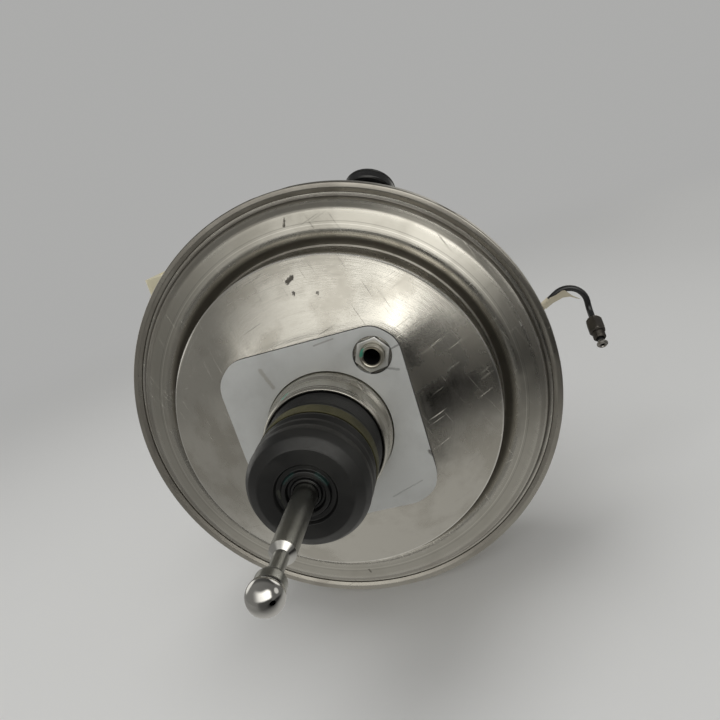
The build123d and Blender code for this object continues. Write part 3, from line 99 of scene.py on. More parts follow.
ARCH = Vector((185.0, OUTLET_Y, 8.2))
KNEE = Vector((185.0, OUTLET_Y, -26.0))
LEG_LEAN = math.radians(53.0)
LEG_DIR = Vector((0, -math.sin(LEG_LEAN), -math.cos(LEG_LEAN)))
LEG_LEN = 38.0
PIPE_R = 2.5
PIPE_FIT = 2.56  # bore of what sits on the pipe
BUMP_REACH = 0.0004  # height of a bump of 1, in metres
PALE = 0.41  # brightness of the backdrop
PALE_TINT = (PALE, PALE, PALE * 0.985, 1)


# ================================================================ shader maths
def _operation(name: str, swapped: bool = False) -> Callable[..., "Value"]:
    """Method that puts a value, and at most one other, through a math node.

    Args:
        name: The node's operation.
        swapped: True where the other operand comes first.

    Returns:
        The method.
    """

    def method(self: "Value", *others: "Value | float") -> "Value":
        return self.graph.math(name, *((*others, self) if swapped else (self, *others)))

    return method


class Value:
    """A shader socket that takes part in ordinary arithmetic."""

    def __init__(self, graph: "Graph", socket: bpy.types.NodeSocket) -> None:
        self.graph = graph
        self.socket = socket

    __add__ = __radd__ = _operation("ADD")
    __sub__ = _operation("SUBTRACT")
    __rsub__ = _operation("SUBTRACT", swapped=True)
    __mul__ = __rmul__ = _operation("MULTIPLY")
    __truediv__ = _operation("DIVIDE")
    sqrt = _operation("SQRT")
    abs = _operation("ABSOLUTE")
    least = _operation("MINIMUM")
    most = _operation("MAXIMUM")

    def __neg__(self) -> "Value":
        return self * -1.0

    def step(self, low: float, high: float) -> "Value":
        """Smooth 0 to 1 rise between two levels; swap them for a fall."""
        rising = low < high
        node = self.graph.node(
            "ShaderNodeMapRange",
            {
                "Value": self,
                "From Min": min(low, high),
                "From Max": max(low, high),
                "To Min": 0.0 if rising else 1.0,
                "To Max": 1.0 if rising else 0.0,
            },
            interpolation_type="SMOOTHSTEP",
        )
        return Value(self.graph, node.outputs[0])


class Graph:
    """One material's node tree and the shared ways of adding to it."""

    def __init__(self, name: str) -> None:
        self.material = bpy.data.materials.new(name)
        self.material.use_nodes = True
        self.tree = self.material.node_tree
        self.tree.nodes.clear()
        place = self.node("ShaderNodeTexCoord", {})
        self.place = Value(self, place.outputs["Object"])
        parts = self.node("ShaderNodeSeparateXYZ", {"Vector": self.place})
        self.x, self.y, self.z = (Value(self, parts.outputs[i]) for i in range(3))

    def node(self, kind: str, inputs: dict, **settings: object) -> bpy.types.Node:
        """Add a node, set its properties, and set or link its inputs.

        Args:
            kind: Node type name.
            inputs: Socket name or index to a constant or a Value.
            settings: Node properties by name.

        Returns:
            The new node.
        """
        made = self.tree.nodes.new(kind)
        for key, setting in settings.items():
            setattr(made, key, setting)
        for key, entry in inputs.items():
            socket = made.inputs[key]
            if isinstance(entry, Value):
                self.tree.links.new(entry.socket, socket)
            else:
                socket.default_value = entry
        return made

    def math(self, operation: str, *operands: "Value | float") -> Value:
        """Result of a math node."""
        made = self.node("ShaderNodeMath", dict(enumerate(operands)), operation=operation)
        return Value(self, made.outputs[0])

    def vector(self, x: "Value | float", y: "Value | float", z: "Value | float") -> Value:
        """Vector of three values."""
        return Value(self, self.node("ShaderNodeCombineXYZ", {0: x, 1: y, 2: z}).outputs[0])

    def noise(self, at: Value, scale: float = 1.0, detail: float = 2.0) -> Value:
        """Soft noise, about 0.5, at a place."""
        made = self.node(
            "ShaderNodeTexNoise",
            {"Vector": at, "Scale": scale, "Detail": detail, "Roughness": 0.55},
        )
        return Value(self, made.outputs[0])

    def mix(self, share: "Value | float", first: object, second: object) -> Value:
        """Colour between two colours, each a tuple or a Value."""
        made = self.node("ShaderNodeMix", {}, data_type="RGBA")
        for index, entry in ((0, share), (6, first), (7, second)):
            socket = made.inputs[index]
            if isinstance(entry, Value):
                self.tree.links.new(entry.socket, socket)
            else:
                socket.default_value = entry if index == 0 else (*entry, 1.0)
        return Value(self, made.outputs[2])

    def length(self, *parts: Value) -> Value:
        """Length of a vector of two or three parts."""
        return sum((part * part for part in parts[1:]), parts[0] * parts[0]).sqrt()

    def radius(self) -> Value:
        """Distance from the booster's axis, in millimetres."""
        return self.length(self.x * 1000.0, self.z * 1000.0)

    def near(self, start: Triple, end: Triple, width: float) -> Value:
        """1 on a short stroke between two points, falling to 0 at its width, in millimetres."""
        a, b = Vector(start), Vector(end)
        along = b - a
        square = max(along.length_squared, 1e-6)
        place = [self.x * 1000.0 - a.x, self.y * 1000.0 - a.y, self.z * 1000.0 - a.z]
        dot = place[0] * along.x + place[1] * along.y + place[2] * along.z
        share = (dot / square).most(0.0).least(1.0)
        gap = [place[i] - share * along[i] for i in range(3)]
        ragged = self.length(*gap) + (self.noise(self.place, 900.0) - 0.5) * width * 0.9
        return ragged.step(width, width * 0.35)

    def shown(self, shader: bpy.types.Node) -> bpy.types.Material:
        """The material, with a shader as its surface."""
        out = self.node("ShaderNodeOutputMaterial", {})
        self.tree.links.new(shader.outputs[0], out.inputs[0])
        return self.material


# ================================================================ finishes
class Grain(Enum):
    """What the surface of a finish is like at small scale."""

    PLAIN = "plain"
    SPUN = "spun"
    TURNED = "turned"
    CAST = "cast"
    MOULDED = "moulded"
    FOAM = "foam"
    COATED = "coated"
    CREPE = "crepe"


@dataclass(frozen=True)
class Mark:
    """A stain, scratch or dent at a known place; the dark colour of a dent is painted shade.

    Attributes:
        start: One end, in millimetres.
        end: Other end, in millimetres.
        width: Reach to each side, in millimetres.
        colour: Its base colour.
        sheen: Roughness on the mark.
        strength: Share of the mark's colour, 0 to 1.
        depth: Height of the mark, negative for a dent, in bump units.
        metallic: Metallic value on the mark, or None to keep the finish's own.
    """

    start: Triple
    end: Triple
    width: float
    colour: Triple
    sheen: float
    strength: float
    depth: float
    metallic: float | None = None


@dataclass(frozen=True)
class PaintedLightRing:
    """A ring round the booster's axis whose colour is painted light or shade.

    Attributes:
        radius: Its middle, in millimetres.
        width: Reach to each side, in millimetres.
        colour: Its colour, lighter for a painted highlight, darker for painted shade.
        sheen: Roughness on the ring.
        strength: Share of the ring's colour, 0 to 1.
    """

    radius: float
    width: float
    colour: Triple
    sheen: float
    strength: float


@dataclass(frozen=True)
class Finish:
    """A surface finish.

    Attributes:
        colour: Base colour.
        roughness: Mean roughness.
        metallic: 1 for bare metal, 0 for the rest.
        grain: Small-scale surface.
        depth: Strength of the grain's bump.
        wear: Share of blotches and scuffs.
        second: Colour of the blotches, or None for a darker tone of the first.
        coat: Clear coat weight.
        specular: Strength of a bare dielectric's reflection, 0.5 for a plain one.
        marks: Marks at known places.
        rings: Rings of painted highlight and painted shade round the axis.
    """

    colour: Triple
    roughness: float
    metallic: float
    grain: Grain
    depth: float
    wear: float
    second: Triple | None = None
    coat: float = 0.0
    specular: float = 0.5
    marks: tuple[Mark, ...] = ()
    rings: tuple[PaintedLightRing, ...] = ()


class Painter:
    """Makes each finish's material once and gives it out by name."""

    def __init__(self, finishes: dict[str, Finish]) -> None:
        self.finishes = finishes
        self.made: dict[str, bpy.types.Material] = {}

    def material(self, name: str) -> bpy.types.Material:
        """Material of that name."""
        if name not in self.made:
            self.made[name] = self._build(name, self.finishes[name])
        return self.made[name]

    def _grain(self, graph: Graph, finish: Finish) -> tuple[Value, Value]:
        """Height and tone of the finish's grain, each about 0 to 1."""
        place = graph.place
        speckle = graph.noise(place, 420.0, 3.0)
        if finish.grain in (Grain.SPUN, Grain.TURNED):
            radius = graph.radius()
            lines = 3.4 if finish.grain is Grain.SPUN else 5.0
            drift = graph.x * 9.0 + graph.z * 7.0
            along = graph.vector(radius * lines, graph.y * 1000.0 * lines * 0.8, drift)
            fine = graph.noise(along, 1.0, 3.0)
            broad = graph.noise(graph.vector(radius * 0.5, graph.y * 60.0, graph.x * 5.0))
            height = fine * 0.6 + broad * 0.4
            if finish.grain is Grain.TURNED:
                return height, fine * 0.6 + speckle * 0.4
            # handling scratches in two directions
            x, z = graph.x, graph.z
            first = graph.noise(graph.vector(x * 1500.0 + z * 600.0, x * 14.0, z * 30.0), 1.0, 1.0)
            other = graph.noise(graph.vector(z * 1700.0 - x * 500.0, z * 12.0, x * 25.0), 1.0, 1.0)
            scratch = first.step(0.70, 0.78).most(other.step(0.72, 0.8))
            return height - scratch * 0.5, fine * 0.45 + speckle * 0.25 + scratch * 0.30
        if finish.grain is Grain.CAST:
            return graph.noise(place, 900.0, 4.0), speckle
        if finish.grain is Grain.FOAM:
            cells = graph.node("ShaderNodeTexVoronoi", {"Vector": place, "Scale": 1500.0})
            pores = Value(graph, cells.outputs["Distance"])
            return pores * 0.5 + graph.noise(place, 120.0) * 0.6, speckle
        if finish.grain is Grain.MOULDED:
            return graph.noise(place, 1800.0) * 0.5 + graph.noise(place, 90.0) * 0.5, speckle
        if finish.grain is Grain.COATED:
            return graph.noise(place, 700.0, 3.0), speckle
        if finish.grain is Grain.CREPE:
            folds = graph.vector(graph.x * 1400.0, graph.y * 200.0, graph.z * 200.0)
            return graph.noise(folds, 1.0, 3.0), speckle
        return speckle, speckle

    def _build(self, name: str, finish: Finish) -> bpy.types.Material:
        graph = Graph(name)
        height, tone = self._grain(graph, finish)
        blotch = graph.noise(graph.place, 34.0, 4.0).step(0.42, 0.66)
        second = finish.second or tuple(c * 0.72 for c in finish.colour)
        wear, uneven = finish.wear, tone - 0.5
        colour = graph.mix(blotch * wear + uneven * 0.35 * wear, finish.colour, second)
        roughness = finish.roughness + uneven * 0.22 * wear + blotch * 0.16 * wear
        metallic: Value | float = finish.metallic
        height = height * finish.depth
        # painted highlights and painted shade in rings round the axis
        for ring in finish.rings:
            gap = (graph.radius() - ring.radius).abs()
            share = gap.step(ring.width, ring.width * 0.3) * ring.strength
            colour = graph.mix(share, colour, ring.colour)
            roughness = roughness + share * (ring.sheen - finish.roughness)
        # stains, scratches and paint, and painted shade in dents
        for mark in finish.marks:
            mask = graph.near(mark.start, mark.end, mark.width)
            share = mask * mark.strength
            colour = graph.mix(share, colour, mark.colour)
            if mark.metallic is not None:
                metallic = share * (mark.metallic - finish.metallic) + metallic
            roughness = roughness + share * (mark.sheen - finish.roughness)
            if mark.depth:
                height = height + mask * mark.depth
        relief = {"Strength": 1.0, "Distance": BUMP_REACH, "Height": height}
        bump = graph.node("ShaderNodeBump", relief)
        shader = graph.node(
            "ShaderNodeBsdfPrincipled",
            {
                "Base Color": colour,
                "Roughness": roughness.most(0.05).least(1.0),
                "Metallic": metallic,
                "Coat Weight": finish.coat,
                "Coat Roughness": 0.12,
                "Specular IOR Level": finish.specular,
                "Normal": Value(graph, bump.outputs[0]),
            },
        )
        return graph.shown(shader)


SHELL_WEAR_AND_SHADE_MARKS = (
    # dark rows with a depth of -0.5 or less are dents, darkened with painted shade;
    # the other rows are stains, scratches and turquoise paint
    Mark((1.2, 17, 91.0), (4.2, 18, 92.6), 1.9, (0.08, 0.072, 0.062), 0.5, 0.9, -0.9),
    Mark((-22.6, 21, 90.4), (-21.4, 21, 92.0), 1.5, (0.10, 0.09, 0.08), 0.5, 0.85, -0.8),
    Mark((3.9, 14, 80.6), (3.3, 14, 84.0), 1.3, (0.15, 0.14, 0.13), 0.45, 0.85, -0.9),
    Mark((18.2, 13, 77.6), (17.4, 13, 80.4), 1.2, (0.16, 0.15, 0.14), 0.45, 0.85, -0.9),
    Mark((4.7, 39, 121.2), (5.9, 40, 125.4), 1.1, (0.14, 0.13, 0.11), 0.5, 0.8, -0.7),
    Mark((-31.9, 40, 125.4), (-30.6, 40, 124.6), 1.2, (0.12, 0.11, 0.10), 0.5, 0.8, -0.6),
    Mark((-99.6, 22, 41.4), (-98.6, 22, 38.6), 2.2, (0.14, 0.12, 0.10), 0.6, 0.6, -0.3),
    Mark((-18.6, 4, 64.2), (-17.0, 4, 66.0), 1.3, (0.20, 0.16, 0.12), 0.6, 0.7, -0.3),
    Mark((124.6, 41, 21.0), (123.6, 40, 26.6), 0.8, (0.86, 0.85, 0.82), 0.3, 0.8, 0.2),
    Mark((121.6, 40, 33.0), (120.0, 40, 38.0), 0.8, (0.86, 0.85, 0.82), 0.3, 0.8, 0.2),
    Mark((132.6, 46, 5.0), (132.0, 46, 9.6), 0.8, (0.86, 0.85, 0.82), 0.3, 0.7, 0.2),
    Mark((-17.6, 39, -118.0), (-17.2, 40, -121.0), 1.0, (0.16, 0.15, 0.13), 0.5, 0.7, -0.5),
    Mark((36.8, 18, 99.0), (53.0, 16, 88.0), 0.5, (0.85, 0.84, 0.80), 0.3, 0.6, 0.1),
    Mark((56.0, 10, 26.0), (62.0, 13, 12.0), 0.4, (0.85, 0.84, 0.80), 0.35, 0.6, 0.1),
    Mark((60.0, 12, 22.0), (64.3, 14, -9.0), 0.4, (0.85, 0.84, 0.80), 0.35, 0.55, 0.1),
    Mark((63.0, 12, 14.0), (74.0, 16, 4.0), 0.4, (0.80, 0.78, 0.74), 0.35, 0.5, 0.1),
    Mark((-70.0, 14, 34.0), (-84.0, 18, 12.0), 0.5, (0.16, 0.15, 0.13), 0.5, 0.5, -0.1),
    Mark((-62.0, 12, 50.0), (-92.0, 20, 44.0), 0.4, (0.80, 0.78, 0.74), 0.3, 0.5, 0.1),
    Mark((-15.6, -18, 33.2), (-13.0, -13, 34.0), 2.0, (0.02, 0.30, 0.20), 0.5, 0.9, 0.1, 0.0),
)
SHELL_PAINTED_LIGHT_RINGS = (
    # painted shade that tones down the bead's highlight
    PaintedLightRing(121.0, 9.5, (0.40, 0.385, 0.345), 0.36, 0.65),
    # painted highlight and painted shade on two fine turned lines
    PaintedLightRing(118.6, 0.4, (0.80, 0.78, 0.72), 0.25, 0.5),
    PaintedLightRing(120.3, 0.3, (0.22, 0.21, 0.19), 0.4, 0.5),
    # painted shade in the valley, in the groove at 134 and on the band at 129.6
    PaintedLightRing(107.8, 5.0, (0.15, 0.14, 0.125), 0.42, 0.80),
    PaintedLightRing(134.0, 2.0, (0.11, 0.10, 0.09), 0.5, 0.75),
    PaintedLightRing(129.6, 2.6, (0.24, 0.225, 0.20), 0.4, 0.5),
    # painted highlight on the dish's edge
    PaintedLightRing(103.2, 0.7, (0.90, 0.88, 0.84), 0.16, 0.8),
)
GASKET_WEAR_AND_SHADE_MARKS = (
    Mark((-27.6, 0, 48.2), (-23.6, 0, 36.0), 1.7, (0.30, 0.27, 0.22), 0.8, 0.5, 0.1),
    Mark((46.5, 0, 38.7), (55.0, 0, 40.6), 0.7, (0.24, 0.24, 0.23), 0.7, 0.8, -0.5),
    Mark((44.0, 0, 29.4), (51.0, 0, 26.4), 0.9, (0.26, 0.26, 0.25), 0.7, 0.7, -0.5),
    # dark indent at the nick in the pad's edge: painted shade
    Mark((53.6, 0, -27.0), (55.4, 0, -30.0), 1.6, (0.14, 0.13, 0.12), 0.8, 0.9, -0.8),
    Mark((24.0, 0, -50.0), (44.0, 0, -44.0), 0.6, (0.32, 0.32, 0.31), 0.7, 0.5, -0.3),
    Mark((8.0, 0, 53.5), (20.0, 0, 54.4), 0.7, (0.28, 0.26, 0.24), 0.7, 0.6, -0.2),
)
BOOT_MARKS = (
    Mark((-9.0, -78, 9.0), (-3.0, -78, 12.5), 1.6, (0.006, 0.035, 0.03), 0.4, 0.7, 0.1),
    Mark((9.0, -78, 9.0), (12.5, -78, 3.0), 1.8, (0.006, 0.04, 0.034), 0.4, 0.7, 0.1),
    Mark((-13.5, -77, 4.0), (-12.0, -77, -5.0), 1.6, (0.030, 0.034, 0.020), 0.6, 0.7, 0.2),
    Mark((-24.0, -76, -8.0), (-19.0, -79, -15.0), 1.8, (0.030, 0.028, 0.024), 0.8, 0.5, 0.0),
    Mark((4.0, -79, 26.5), (10.0, -79, 24.0), 1.0, (0.035, 0.032, 0.028), 0.8, 0.5, 0.0),
)
SLEEVE_MARKS = (
    Mark((33.2, -4, 41.6), (34.6, -4, 44.6), 2.1, (0.0, 0.24, 0.15), 0.5, 0.9, 0.1, 0.0),
)
FINISHES: dict[str, Finish] = {
    "rear_shell_metal": Finish(
        (0.62, 0.60, 0.55), 0.22, 1.0, Grain.SPUN, 0.34, 0.6, (0.44, 0.415, 0.365),
        marks=SHELL_WEAR_AND_SHADE_MARKS, rings=SHELL_PAINTED_LIGHT_RINGS,
    ),
    "front_shell_metal": Finish(
        (0.42, 0.40, 0.36), 0.30, 1.0, Grain.SPUN, 0.14, 0.6, (0.31, 0.29, 0.26),
    ),
    "gasket_foam": Finish(
        (0.58, 0.585, 0.565), 0.62, 0.0, Grain.FOAM, 0.14, 0.6, (0.48, 0.48, 0.46),
        marks=GASKET_WEAR_AND_SHADE_MARKS,
    ),
    "gasket_edge": Finish((0.03, 0.03, 0.03), 0.8, 0.0, Grain.FOAM, 0.1, 0.4),
    "tie_rod_steel": Finish(
        (0.50, 0.475, 0.41), 0.30, 1.0, Grain.TURNED, 0.05, 0.5, marks=SLEEVE_MARKS,
    ),
    "sleeve_nut_steel": Finish((0.72, 0.72, 0.70), 0.48, 1.0, Grain.PLAIN, 0.05, 0.5),
    "inner_plastic": Finish((0.70, 0.67, 0.58), 0.5, 0.0, Grain.MOULDED, 0.05, 0.3),
    "seal_rubber": Finish((0.03, 0.03, 0.03), 0.6, 0.0, Grain.MOULDED, 0.1, 0.4),
    "bright_steel": Finish((0.62, 0.61, 0.59), 0.22, 1.0, Grain.TURNED, 0.04, 0.3),
    "valve_body_plastic": Finish((0.05, 0.05, 0.055), 0.5, 0.0, Grain.MOULDED, 0.1, 0.4),
    "plated_steel": Finish((0.60, 0.53, 0.34), 0.33, 1.0, Grain.PLAIN, 0.05, 0.5),
    "diaphragm_rubber": Finish((0.04, 0.04, 0.042), 0.65, 0.0, Grain.MOULDED, 0.1, 0.3),
    "input_rod_steel": Finish(
        (0.44, 0.44, 0.41), 0.28, 1.0, Grain.TURNED, 0.06, 0.6, (0.28, 0.28, 0.255),
    ),
    "rod_bright": Finish(
        (0.70, 0.69, 0.67), 0.10, 1.0, Grain.PLAIN, 0.02, 0.3, (0.36, 0.35, 0.33),
    ),
    "filter_felt": Finish((0.80, 0.78, 0.72), 0.9, 0.0, Grain.FOAM, 0.4, 0.3),
    "boot_rubber": Finish(
        (0.003, 0.003, 0.0033), 0.37, 0.0, Grain.MOULDED, 0.16, 0.9, (0.007, 0.0068, 0.006),
        specular=0.7, marks=BOOT_MARKS,
    ),
    "band_olive": Finish(
        (0.072, 0.066, 0.026), 0.42, 0.0, Grain.MOULDED, 0.1, 0.8, (0.038, 0.035, 0.018),
        specular=0.3,
    ),
    "spring_steel": Finish((0.35, 0.35, 0.36), 0.35, 1.0, Grain.PLAIN, 0.05, 0.3),
    "cast_aluminium": Finish((0.58, 0.57, 0.55), 0.48, 1.0, Grain.CAST, 0.35, 0.5),
    "nut_steel": Finish((0.62, 0.56, 0.38), 0.3, 1.0, Grain.PLAIN, 0.05, 0.4),
    "anodised_piston": Finish((0.50, 0.46, 0.36), 0.35, 1.0, Grain.TURNED, 0.05, 0.3),
    "tank_plastic": Finish(
        (0.78, 0.72, 0.52), 0.36, 0.0, Grain.MOULDED, 0.05, 0.4, (0.70, 0.62, 0.40), coat=0.2,
    ),
    "fluid_amber": Finish((0.42, 0.30, 0.08), 0.12, 0.0, Grain.PLAIN, 0.02, 0.2),
    "cap_plastic": Finish((0.022, 0.022, 0.024), 0.42, 0.0, Grain.MOULDED, 0.12, 0.4),
    "float_plastic": Finish((0.05, 0.05, 0.05), 0.5, 0.0, Grain.MOULDED, 0.1, 0.3),
    "switch_plastic": Finish((0.03, 0.03, 0.033), 0.45, 0.0, Grain.MOULDED, 0.1, 0.3),
    "check_plastic": Finish(
        (0.010, 0.010, 0.011), 0.16, 0.0, Grain.PLAIN, 0.03, 0.4, (0.03, 0.03, 0.03), coat=0.6,
    ),
    "pipe_coating": Finish((0.014, 0.014, 0.015), 0.30, 0.0, Grain.COATED, 0.06, 0.4, coat=0.3),
    "tube_nut_steel": Finish(
        (0.125, 0.115, 0.105), 0.45, 1.0, Grain.CAST, 0.12, 0.8, (0.22, 0.195, 0.165),
    ),
    "tape_cream": Finish((0.66, 0.60, 0.46), 0.8, 0.0, Grain.CREPE, 0.3, 0.5, (0.52, 0.46, 0.33)),
    "bare_flare": Finish((0.40, 0.385, 0.36), 0.36, 1.0, Grain.PLAIN, 0.05, 0.4),
    # near-black finish that paints the shade inside bores
    "bore_painted_shade": Finish((0.008, 0.008, 0.008), 0.7, 0.0, Grain.PLAIN, 0.05, 0.2, specular=0.1),
}


# ================================================================ mesh building
@dataclass(frozen=True)
class Frame3:
    """Where a profile stands: its radius runs along side, its second value along axis."""

    origin: Vector
    side: Vector
    axis: Vector

    @staticmethod
    def forward(x: float = 0.0, z: float = 0.0) -> "Frame3":
        """Axis along +Y through (x, z); the booster's own by default."""
        return Frame3(Vector((x, 0, z)), Vector((1, 0, 0)), Vector((0, 1, 0)))

    @staticmethod
    def upright(x: float, y: float) -> "Frame3":
        """Axis along +Z through (x, y)."""
        return Frame3(Vector((x, y, 0)), Vector((1, 0, 0)), Vector((0, 0, 1)))

    def at(self, radius: float, along: float, angle: float) -> Vector:
        """Point at a radius, a distance along the axis and an angle round it."""
        other = self.axis.cross(self.side)
        return (
            self.origin
            + self.side * (radius * math.cos(angle))
            + other * (radius * math.sin(angle))
            + self.axis * along
        )

    def reshape(self, point: Vector, shape: Shape) -> Vector:
        """Point moved by a shaping rule on its radius, its place along the axis and its angle."""
        gap = point - self.origin
        along = gap.dot(self.axis)
        a, b = gap.dot(self.side), gap.dot(self.axis.cross(self.side))
        angle = math.atan2(b, a)
        radius, along = shape(math.hypot(a, b), along, angle)
        return self.at(radius, along, angle)


def rounded(
    points: Sequence[Sequence[float]], step: float = 0.16, segments: int = 0
) -> list[Point]:
    """Polyline with its corners rounded.

    Args:
        points: (a, b) or (a, b, corner radius) for each corner.
        step: Largest turn of one arc segment, in radians.
        segments: Segments in every arc, or 0 to let step decide.

    Returns:
        The rounded polyline's points.
    """
    out: list[Point] = []
    last = len(points) - 1
    for index, entry in enumerate(points):
        here = Vector(entry[:2])
        radius = entry[2] if len(entry) > 2 else 0.0
        if index in (0, last) or radius <= 0:
            out.append((here.x, here.y))
            continue
        back = Vector(points[index - 1][:2]) - here
        ahead = Vector(points[index + 1][:2]) - here
        angle = min(back.angle(ahead), math.pi - 0.004)
        reach = min(radius / math.tan(angle / 2), back.length * 0.49, ahead.length * 0.49)
        used = reach * math.tan(angle / 2)
        inward = back.normalized() + ahead.normalized()
        first, final = here + back.normalized() * reach, here + ahead.normalized() * reach
        count = segments or max(2, int(math.ceil((math.pi - angle) / step)))
        if inward.length < 0.008:
            out += [tuple(first.lerp(final, i / count)) for i in range(count + 1)]
            continue
        middle = here + inward.normalized() * (used / math.sin(angle / 2))
        a0 = math.atan2(*(first - middle).yx)
        a1 = math.atan2(*(final - middle).yx)
        sweep = (a1 - a0 + math.pi) % (2 * math.pi) - math.pi
        for i in range(count + 1):
            a = a0 + sweep * i / count
            out.append((middle.x + used * math.cos(a), middle.y + used * math.sin(a)))
    return out


def turns(edge: bmesh.types.BMEdge, limit: float) -> bool:
    """Whether an edge between two faces turns more than an angle."""
    return len(edge.link_faces) == 2 and edge.calc_face_angle(0.0) > limit


def linked(name: str, mesh: bmesh.types.BMesh) -> bpy.types.Object:
    """Object of a finished mesh, linked to the scene."""
    data = bpy.data.meshes.new(name)
    mesh.to_mesh(data)
    mesh.free()
    obj = bpy.data.objects.new(name, data)
    bpy.context.scene.collection.objects.link(obj)
    return obj


class Piece:
    """A mesh under construction, in millimetres."""

    def __init__(self, name: str, finish: str) -> None:
        self.name = name
        self.finishes = [finish]
        self.mesh = bmesh.new()

    def use(self, finish: str) -> int:
        """Index of a finish in this piece, added if new."""
        if finish not in self.finishes:
            self.finishes.append(finish)
        return self.finishes.index(finish)

    def lathe(
        self,
        profile: Sequence[Sequence[float]],
        stand: Frame3 | None = None,
        steps: int = 96,
        closed: bool = True,
        finish: str | None = None,
        shape: Shape | None = None,
    ) -> list[bmesh.types.BMFace]:
        """Turn a profile right round an axis.

        Args:
            profile: (radius, along) or (radius, along, corner radius) for each corner.
            stand: Axis to turn about, or None for the booster's.
            steps: Segments round the axis.
            closed: True to join the profile's last point to its first.
            finish: Finish of the new faces, or None for the piece's first.
            shape: Moves a turned point: takes radius, along and angle, gives radius and along.

        Returns:
            The new faces.
        """
        stand = stand or Frame3.forward()
        old_verts, old_faces = set(self.mesh.verts), set(self.mesh.faces)
        points = rounded(profile)
        verts = [self.mesh.verts.new(stand.at(radius, along, 0.0)) for radius, along in points]
        pairs = list(zip(verts, verts[1:])) + ([(verts[-1], verts[0])] if closed else [])
        edges = [self.mesh.edges.new(pair) for pair in pairs]
        bmesh.ops.spin(
            self.mesh,
            geom=verts + edges,
            cent=stand.origin,
            axis=stand.axis,
            dvec=(0, 0, 0),
            angle=2 * math.pi,
            steps=steps,
            use_merge=True,
            use_duplicate=False,
        )
        if shape:
            for vert in (v for v in self.mesh.verts if v not in old_verts):
                vert.co = stand.reshape(vert.co, shape)
        faces = [f for f in self.mesh.faces if f not in old_faces]
        index = self.use(finish) if finish else 0
        for face in faces:
            face.material_index = index
        return faces

    def shade_bore(self, inside: Callable[[Vector], bool]) -> None:
        """Give the faces whose middle is in a bore its dark finish, painted shade in the bore."""
        dark = self.use("bore_painted_shade")
        for face in self.mesh.faces:
            if inside(face.calc_center_median()):
                face.material_index = dark

    def prism(
        self,
        outline: Sequence[Point],
        place: Callable[[float, float, float], Vector],
        low: float,
        high: float,
        holes: Sequence[Sequence[Point]] = (),
    ) -> "Piece":
        """Straight block of an outline, with through holes.

        Args:
            outline: Closed outline.
            place: Turns (a, b, height) into a point.
            low: Height of the bottom.
            high: Height of the top.
            holes: Closed outlines of the holes.

        Returns:
            This piece.
        """
        edges = []
        for loop in (outline, *holes):
            verts = [self.mesh.verts.new(place(a, b, low)) for a, b in loop]
            edges += [self.mesh.edges.new(pair) for pair in zip(verts, verts[1:] + verts[:1])]
        filled = bmesh.ops.triangle_fill(self.mesh, edges=edges, use_beauty=True)
        faces = [g for g in filled["geom"] if isinstance(g, bmesh.types.BMFace)]
        grown = bmesh.ops.extrude_face_region(self.mesh, geom=faces, use_keep_orig=True)
        lift = place(0, 0, high) - place(0, 0, low)
        top = [g for g in grown["geom"] if isinstance(g, bmesh.types.BMVert)]
        bmesh.ops.translate(self.mesh, verts=top, vec=lift)
        return self

    def tube(self, path: Sequence[Vector], radius: float, sides: int = 20) -> None:
        """Round tube along a path, closed at both ends."""
        ahead = (path[1] - path[0]).normalized()
        turn = ahead.to_track_quat("Z", "Y").to_matrix().to_4x4()
        start = Matrix.Translation(path[0]) @ turn
        made = bmesh.ops.create_circle(
            self.mesh, cap_ends=True, segments=sides, radius=radius, matrix=start
        )
        loop = list({e for v in made["verts"] for e in v.link_edges})
        for i in range(1, len(path)):
            after = (path[min(i + 1, len(path) - 1)] - path[i - 1]).normalized()
            grown = bmesh.ops.extrude_edge_only(self.mesh, edges=loop)["geom"]
            verts = [g for g in grown if isinstance(g, bmesh.types.BMVert)]
            loop = [g for g in grown if isinstance(g, bmesh.types.BMEdge)]
            bend = ahead.rotation_difference(after).to_matrix()
            bmesh.ops.rotate(self.mesh, cent=path[i - 1], matrix=bend, verts=verts)
            bmesh.ops.translate(self.mesh, vec=path[i] - path[i - 1], verts=verts)
            ahead = after
        bmesh.ops.edgeloop_fill(self.mesh, edges=loop)

    def take(self, other: "Piece") -> None:
        """Add another piece's mesh to this one."""
        data = bpy.data.meshes.new("part")
        other.mesh.to_mesh(data)
        other.mesh.free()
        self.mesh.from_mesh(data)
        bpy.data.meshes.remove(data)

    def bevel(self, width: float, angle: float = 35.0, segments: int = 2) -> "Piece":
        """Round the edges that turn more than an angle."""
        limit = math.radians(angle)
        bmesh.ops.bevel(
            self.mesh,
            geom=[e for e in self.mesh.edges if turns(e, limit)],
            offset=width,
            segments=segments,
            affect="EDGES",
            profile=0.5,
            clamp_overlap=True,
        )
        return self

    def finish(self, painter: Painter, slot: str, smooth: float = 38.0) -> bpy.types.Object:
        """Close the mesh, shade it and link it as an object.

        Args:
            painter: Gives the materials.
            slot: Record's material slot that the piece stands for; not used.
            smooth: Edges that turn more than this many degrees stay sharp.

        Returns:
            The linked object.
        """
        bmesh.ops.remove_doubles(self.mesh, verts=self.mesh.verts, dist=0.0005)
        bmesh.ops.recalc_face_normals(self.mesh, faces=self.mesh.faces)
        limit = math.radians(smooth)
        for face in self.mesh.faces:
            face.smooth = True
        for edge in self.mesh.edges:
            edge.smooth = not turns(edge, limit)
        bmesh.ops.scale(self.mesh, vec=(MM, MM, MM), verts=self.mesh.verts)
        obj = linked(self.name, self.mesh)
        for name in self.finishes:
            obj.data.materials.append(painter.material(name))
        return obj


